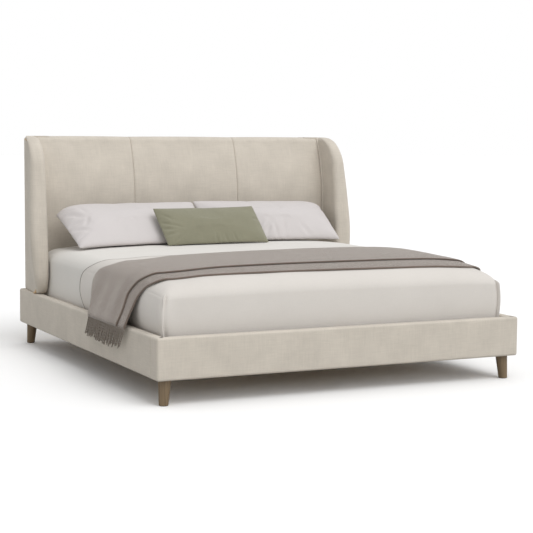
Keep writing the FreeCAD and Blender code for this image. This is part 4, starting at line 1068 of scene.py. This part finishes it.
def fringe_tree():
    """Twisted cords hung at even steps along a line, each a little different."""
    tree = bpy.data.node_groups.new("twisted_fringe", "GeometryNodeTree")
    face = tree.interface
    for name, kind in (("Hem", "NodeSocketGeometry"), ("Length", "NodeSocketFloat"),
                       ("Width", "NodeSocketFloat"), ("Gap", "NodeSocketFloat"),
                       ("Lean", "NodeSocketFloat"), ("Yarn", "NodeSocketMaterial")):
        face.new_socket(name, in_out="INPUT", socket_type=kind)
    face.new_socket("Fringe", in_out="OUTPUT", socket_type="NodeSocketGeometry")
    given = put(tree, "NodeGroupInput").outputs
    line = put(tree, "GeometryNodeMeshToCurve", {"Mesh": given["Hem"]})
    spots = put(tree, "GeometryNodeResampleCurve", {"Curve": line.outputs[0], "Length": given["Gap"]},
                mode="LENGTH")
    down = put(tree, "ShaderNodeCombineXYZ", {
        "Z": put(tree, "ShaderNodeMath", {0: given["Length"], 1: -1.0}, operation="MULTIPLY").outputs[0]})
    strand = put(tree, "GeometryNodeCurvePrimitiveLine", {"End": down.outputs[0]})
    fine = put(tree, "GeometryNodeResampleCurve", {"Curve": strand.outputs[0], "Count": 15})
    share = put(tree, "GeometryNodeSplineParameter").outputs["Factor"]
    twist = put(tree, "ShaderNodeMath", {0: share, 1: 22.0}, operation="MULTIPLY")
    twisted = put(tree, "GeometryNodeSetCurveTilt", {"Curve": fine.outputs[0], "Tilt": twist.outputs[0]})
    thin = put(tree, "ShaderNodeMapRange", {"Value": share, "From Min": 0.0, "From Max": 1.0,
                                            "To Min": 1.0, "To Max": 0.72})
    half = put(tree, "ShaderNodeMath", {0: given["Width"], 1: 0.5}, operation="MULTIPLY")
    radius = put(tree, "ShaderNodeMath", {0: thin.outputs[0], 1: half.outputs[0]}, operation="MULTIPLY")
    sized = put(tree, "GeometryNodeSetCurveRadius", {"Curve": twisted.outputs[0],
                                                     "Radius": radius.outputs[0]})
    ring = put(tree, "GeometryNodeCurvePrimitiveCircle", {"Resolution": 8, "Radius": 1.0})
    lobed = put(tree, "GeometryNodeTransform", {"Geometry": ring.outputs[0], "Scale": (1.0, 0.52, 1.0)})
    yarn = put(tree, "GeometryNodeCurveToMesh", {"Curve": sized.outputs[0],
                                                 "Profile Curve": lobed.outputs[0], "Fill Caps": True})
    sockets = [socket.name for socket in yarn.inputs]
    if "Scale" in sockets:
        tree.links.new(radius.outputs[0], yarn.inputs["Scale"])
    sway = put(tree, "FunctionNodeRandomValue", {"Min": (-0.11, -0.03, 0), "Max": (0.11, 0.03, 0),
                                                 "Seed": 4}, data_type="FLOAT_VECTOR")
    where = put(tree, "GeometryNodeInputPosition").outputs[0]
    bunch = put(tree, "ShaderNodeTexNoise", {"Vector": where, "Scale": 26.0, "Detail": 1.0}).outputs[0]
    bunched = put(tree, "ShaderNodeMath", {0: bunch, 1: 0.8, 2: -0.40}, operation="MULTIPLY_ADD")
    lean = put(tree, "ShaderNodeMath", {0: given["Lean"], 1: bunched.outputs[0]})
    leaning = put(tree, "ShaderNodeCombineXYZ", {"X": lean.outputs[0]})
    turned = put(tree, "ShaderNodeVectorMath", {0: sway.outputs[0], 1: leaning.outputs[0]})
    spin = put(tree, "FunctionNodeRandomValue", {"Min": (0, 0, 0), "Max": (0, 0, 2 * math.pi), "Seed": 5},
               data_type="FLOAT_VECTOR")
    stretch = put(tree, "FunctionNodeRandomValue", {2: 0.88, 3: 1.06, "Seed": 9})
    tall = put(tree, "ShaderNodeCombineXYZ", {"X": 1.0, "Y": 1.0, "Z": stretch.outputs[1]})
    hung = put(tree, "GeometryNodeInstanceOnPoints", {
        "Points": spots.outputs[0], "Instance": yarn.outputs[0], "Rotation": turned.outputs[0],
        "Scale": tall.outputs[0]})
    spun = put(tree, "GeometryNodeRotateInstances", {"Instances": hung.outputs[0],
                                                     "Rotation": spin.outputs[0], "Local Space": True})
    real = put(tree, "GeometryNodeRealizeInstances", {"Geometry": spun.outputs[0]})
    dyed = put(tree, "GeometryNodeSetMaterial", {"Geometry": real.outputs[0], "Material": given["Yarn"]})
    smooth = put(tree, "GeometryNodeSetShadeSmooth", {"Geometry": dyed.outputs[0]})
    last = put(tree, "GeometryNodeSetMaterial", {"Geometry": smooth.outputs[0],
                                                 "Material": given["Yarn"]})
    put(tree, "NodeGroupOutput", {"Fringe": last.outputs[0]})
    return tree


def grown(name, points, tree, inputs):
    """Runs a tree on a line of points and keeps its result as a plain mesh piece."""
    mesh = bpy.data.meshes.new(name)
    mesh.from_pydata([tuple(point) for point in points], [(i, i + 1) for i in range(len(points) - 1)], [])
    line = bpy.data.objects.new(name + "_line", mesh)
    scene.collection.objects.link(line)
    grower = line.modifiers.new("grow", "NODES")
    grower.node_group = tree
    for item in tree.interface.items_tree:
        if item.in_out == "INPUT" and item.name in inputs:
            grower[item.identifier] = inputs[item.name]
    graph = bpy.context.evaluated_depsgraph_get()
    made = bpy.data.meshes.new_from_object(line.evaluated_get(graph))
    made.name = name
    bpy.data.objects.remove(line)
    piece = bpy.data.objects.new(name, made)
    scene.collection.objects.link(piece)
    return piece


def yarn_material(name, colour):
    """Loose wool yarn: fuzzy, with darker patches painted in by noise as shade in the hollows between the
    turns.
    """
    material, tree = new_material(name)
    spot = put(tree, "ShaderNodeTexCoord").outputs["Object"]
    placed = put(tree, "ShaderNodeMapping", {"Vector": spot, "Scale": (260, 260, 70)})
    fluff_and_hollow_shade = put(tree, "ShaderNodeTexNoise", {"Vector": placed.outputs[0], "Scale": 1, "Detail": 3})
    # The dark colour is painted shade for the hollows between the turns, mixed in by the same noise that
    # raises the bump.
    dark = [part * 0.45 for part in colour[:3]] + [1]
    tint = put(tree, "ShaderNodeMix", {"Factor": fluff_and_hollow_shade.outputs[0], 6: dark, 7: colour}, data_type="RGBA")
    raised = put(tree, "ShaderNodeBump", {"Height": fluff_and_hollow_shade.outputs[0], "Strength": 0.5,
                                          "Distance": 0.0015})
    shader = put(tree, "ShaderNodeBsdfPrincipled", {"Base Color": tint.outputs[2], "Roughness": 0.95,
                                                    "Sheen Weight": 0.3, "Normal": raised.outputs[0]})
    finish_material(tree, shader.outputs[0])
    return material


yarn = yarn_material("wool_yarn", paint(158, 146, 134))
fringe_group = fringe_tree()
UPPER_ROWS, LOWER_START = 34, 39
for side, name in ((-1, "left"), (1, "right")):
    hem = throw_hems[side]
    upper_line = hem[:UPPER_ROWS] + np.array([side * 0.0015, 0, 0.002])
    lower_line = hem[LOWER_START:] + np.array([side * 0.0005, 0, 0.002])
    values = {"Length": STRAND_LENGTH, "Width": STRAND_WIDTH, "Gap": STRAND_GAP, "Lean": 0.50,
              "Yarn": yarn}
    layers = [grown(f"strands_{name}", line, fringe_group, values) for line in (upper_line, lower_line)]
    joined = bmesh.new()
    for layer in layers:
        joined.from_mesh(layer.data)
        bpy.data.objects.remove(layer)
    mesh = bpy.data.meshes.new(f"wool_fringe_{name}")
    joined.to_mesh(mesh)
    joined.free()
    mesh.materials.append(yarn)
    piece = bpy.data.objects.new(f"wool_fringe_{name}", mesh)
    scene.collection.objects.link(piece)
    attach(piece, "bed")
    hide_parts(f"throw_fringe_{name}")

# Pillows --------------------------------------------------------------------------------------
# Two king pillows in white cotton cases and one sage linen cushion. Each is two flat panels
# sewn round their edge and filled, so the sides pull in and the corners crease.


def pouch(name, width, depth, plump, step, pressure, cap, material):
    """A sewn case lying flat about the origin, blown up by cloth simulation.

    No point is drawn across by more than the cap, so that the seams stay nearly straight."""
    across, deep = round(width / step), round(depth / step)
    spots, index = [], {}
    for layer in (0, 1):
        for i in range(across + 1):
            for j in range(deep + 1):
                if layer and (i in (0, across) or j in (0, deep)):
                    index[layer, i, j] = index[0, i, j]
                    continue
                u, v = 2 * i / across - 1, 2 * j / deep - 1
                rise = plump * ((1 - u ** 4) * (1 - v ** 4)) ** 0.7
                index[layer, i, j] = len(spots)
                spots.append((u * width / 2, v * depth / 2, rise if layer else -rise))
    faces, uv = [], []
    for layer in (0, 1):
        for i in range(across):
            for j in range(deep):
                ring = [(i, j), (i + 1, j), (i + 1, j + 1), (i, j + 1)]
                ring = ring if layer else ring[::-1]
                faces.append([index[layer, a, b] for a, b in ring])
                uv.extend([(a * step + layer * 2, b * step) for a, b in ring])
    piece = new_piece(name, spots, faces, uv, material)
    cloth = piece.modifiers.new("cloth", "CLOTH")
    settings = cloth.settings
    settings.quality = 6
    settings.mass = 0.3
    settings.tension_stiffness = settings.compression_stiffness = 12
    settings.shear_stiffness = 8
    settings.bending_stiffness = 0.6
    settings.use_pressure = True
    settings.uniform_pressure_force = pressure
    settings.effector_weights.gravity = 0
    cloth.collision_settings.use_collision = False
    cloth.point_cache.frame_start, cloth.point_cache.frame_end = 1, 26
    for step_number in range(1, 27):
        scene.frame_set(step_number)
    graph = bpy.context.evaluated_depsgraph_get()
    blown = bpy.data.meshes.new_from_object(piece.evaluated_get(graph))
    piece.modifiers.remove(cloth)
    rest, moved = np.zeros(len(spots) * 3), np.zeros(len(spots) * 3)
    piece.data.vertices.foreach_get("co", rest)
    blown.vertices.foreach_get("co", moved)
    rest, moved = rest.reshape(-1, 3), moved.reshape(-1, 3)
    shift = (moved - rest)[:, :2]
    far = np.linalg.norm(shift, axis=1)[:, None]
    moved[:, :2] = rest[:, :2] + shift * np.minimum(1, cap / np.maximum(far, 1e-6))
    piece.data.vertices.foreach_set("co", moved.ravel())
    piece.data.update()
    bpy.data.meshes.remove(blown)
    scene.frame_set(1)
    return piece


def bed_height(x, y):
    """The top of the made bed under a pillow."""
    return BED_TOP + SHEET_LIFT + 0.0012 + float(crown(x, y))


def lay_pillow(piece, thickness, corners, droop, creases, seed):
    """Lays a case between four corners, creases it, and rests it on the bed and the headboard."""
    mesh = piece.data
    co = np.zeros(len(mesh.vertices) * 3)
    mesh.vertices.foreach_get("co", co)
    co = co.reshape(-1, 3)
    half_x, half_y = np.abs(co[:, 0]).max(), np.abs(co[:, 1]).max()
    u, v = co[:, 0] / half_x, co[:, 1] / half_y
    share = np.abs(co[:, 2]) / np.abs(co[:, 2]).max()
    co[:, 2] = np.sign(co[:, 2]) * share ** 0.7 * thickness / 2
    for at_u, at_v, direction, depth, width in creases:
        way = Vector((math.cos(math.radians(direction)), math.sin(math.radians(direction))))
        du, dv = co[:, 0] - at_u * half_x, co[:, 1] - at_v * half_y
        run = du * way.x + dv * way.y
        side = -du * way.y + dv * way.x
        bell = np.exp(-(side / width) ** 2) * np.exp(-(run / (width * 4.5)) ** 2)
        ridge = 0.45 * np.exp(-((np.abs(side) - 1.9 * width) / width) ** 2) * np.exp(-(run / (width * 4)) ** 2)
        co[:, 2] -= depth * (bell - ridge) * np.sign(co[:, 2]) * np.clip(np.abs(co[:, 2]) / 0.012, 0, 1)
    wobble = np.array([noise.noise(Vector((x * 9, y * 9, z * 9 + seed))) for x, y, z in co])
    co[:, 2] += wobble * 0.003 * np.clip(np.abs(co[:, 2]) / 0.02, 0, 1)
    low_left, low_right, top_left, top_right = (np.array(corner) for corner in corners)
    right, top = ((u + 1) / 2)[:, None], ((v + 1) / 2)[:, None]
    placed = (low_left * (1 - right) + low_right * right) * (1 - top)
    placed += (top_left * (1 - right) + top_right * right) * top
    across_way = low_right - low_left + top_right - top_left
    up_way = top_left - low_left + top_right - low_right
    out_way = np.cross(across_way, up_way)
    placed += out_way / np.linalg.norm(out_way) * co[:, 2:]
    droop_side, droop_depth = droop
    belly = 0.014 * np.clip(-v, 0, 1) ** 2 * (1 - np.abs(u) ** 5)
    placed += out_way / np.linalg.norm(out_way) * belly[:, None]
    placed[:, 2] -= droop_depth * np.clip(u * droop_side, 0, 1) ** 8 * np.clip((v + 1) / 2, 0, 1) ** 1.3
    floor_z = np.array([bed_height(x, y) for x, y in placed[:, :2]]) + 0.002
    placed[:, 2] += np.maximum(floor_z - placed[:, 2], 0)
    placed[:, 1] -= np.maximum(placed[:, 1] - (FACE - 0.003), 0)
    mesh.vertices.foreach_set("co", placed.ravel())
    mesh.update()
    smooth = piece.modifiers.new("smooth", "SUBSURF")
    smooth.levels = smooth.render_levels = 1
    return piece


pillow_cotton = woven("pillow_cotton", paint(204, 199, 198), 0.00045, 0.035, 0.15, 0.2, slub=0.3,
                      cloud=0.35, cloud_size=0.2, roughness=0.8)
PILLOWS = {
    "left": ((-0.872, 0.492, 0.630), (0.004, 0.560, 0.636), (-0.908, 0.855, 0.868), (0.004, 0.885, 0.872)),
    "right": ((0.008, 0.590, 0.636), (0.938, 0.640, 0.626), (-0.002, 0.885, 0.876), (0.905, 0.872, 0.866)),
}
DROOPS = {"left": (-1, 0.068), "right": (1, 0.050)}
PILLOW_CREASES = {
    "left": [(-0.90, 0.66, -28, 0.013, 0.010), (-0.86, 0.34, -50, 0.015, 0.010),
             (-0.90, 0.02, -16, 0.013, 0.010), (-0.88, -0.34, -38, 0.014, 0.010),
             (-0.90, -0.62, 24, 0.010, 0.010), (-0.76, -0.10, 62, 0.009, 0.009),
             (-0.74, 0.42, -70, 0.008, 0.009), (0.55, -0.60, 120, 0.010, 0.016),
             (0.35, -0.72, 80, 0.007, 0.012)],
    "right": [(0.93, 0.55, 200, 0.010, 0.016), (-0.12, -0.62, 62, 0.012, 0.013),
              (-0.02, -0.66, 95, 0.009, 0.011), (0.12, -0.66, 78, 0.008, 0.012),
              (-0.26, -0.55, 50, 0.010, 0.014), (0.45, -0.7, 120, 0.005, 0.014)],
}
for name in ("left", "right"):
    piece = pouch(f"pillow_case_{name}", 0.91, 0.44, 0.02, 0.0125, 4.5, 0.012, pillow_cotton)
    lay_pillow(piece, 0.190, PILLOWS[name], DROOPS[name], PILLOW_CREASES[name],
               seed=3.0 if name == "left" else 8.0)
    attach(piece, "bed")
    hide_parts(f"pillow_{name}")

sage = woven("sage_linen", paint(136, 134, 114), 0.0009, 0.10, 0.35, 0.3, slub=0.45, cloud=0.4,
             cloud_size=0.14, roughness=0.9)
CUSHION_CREASES = [(-0.90, 0.10, -30, 0.010, 0.007), (-0.90, -0.18, -14, 0.011, 0.007),
                   (-0.88, -0.46, 12, 0.010, 0.007), (-0.84, 0.42, -40, 0.008, 0.007),
                   (-0.72, -0.10, -22, 0.006, 0.007), (-0.78, -0.70, 38, 0.008, 0.007),
                   (-0.05, -0.80, 84, 0.009, 0.007), (0.14, -0.82, 96, 0.008, 0.007),
                   (0.32, -0.80, 102, 0.007, 0.007), (0.90, 0.2, 190, 0.006, 0.008)]
CUSHION = ((-0.338, 0.440, 0.630), (0.350, 0.480, 0.630), (-0.384, 0.590, 0.853), (0.300, 0.630, 0.858))
piece = pouch("sage_cushion", 0.69, 0.29, 0.016, 0.01, 4.5, 0.007, sage)
lay_pillow(piece, 0.115, CUSHION, (1, 0.0), CUSHION_CREASES, seed=14.0)
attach(piece, "bed")
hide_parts("lumbar_cushion")

# Size -----------------------------------------------------------------------------------------
# The finished bed's box, over every shown piece except the floor.

low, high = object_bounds()
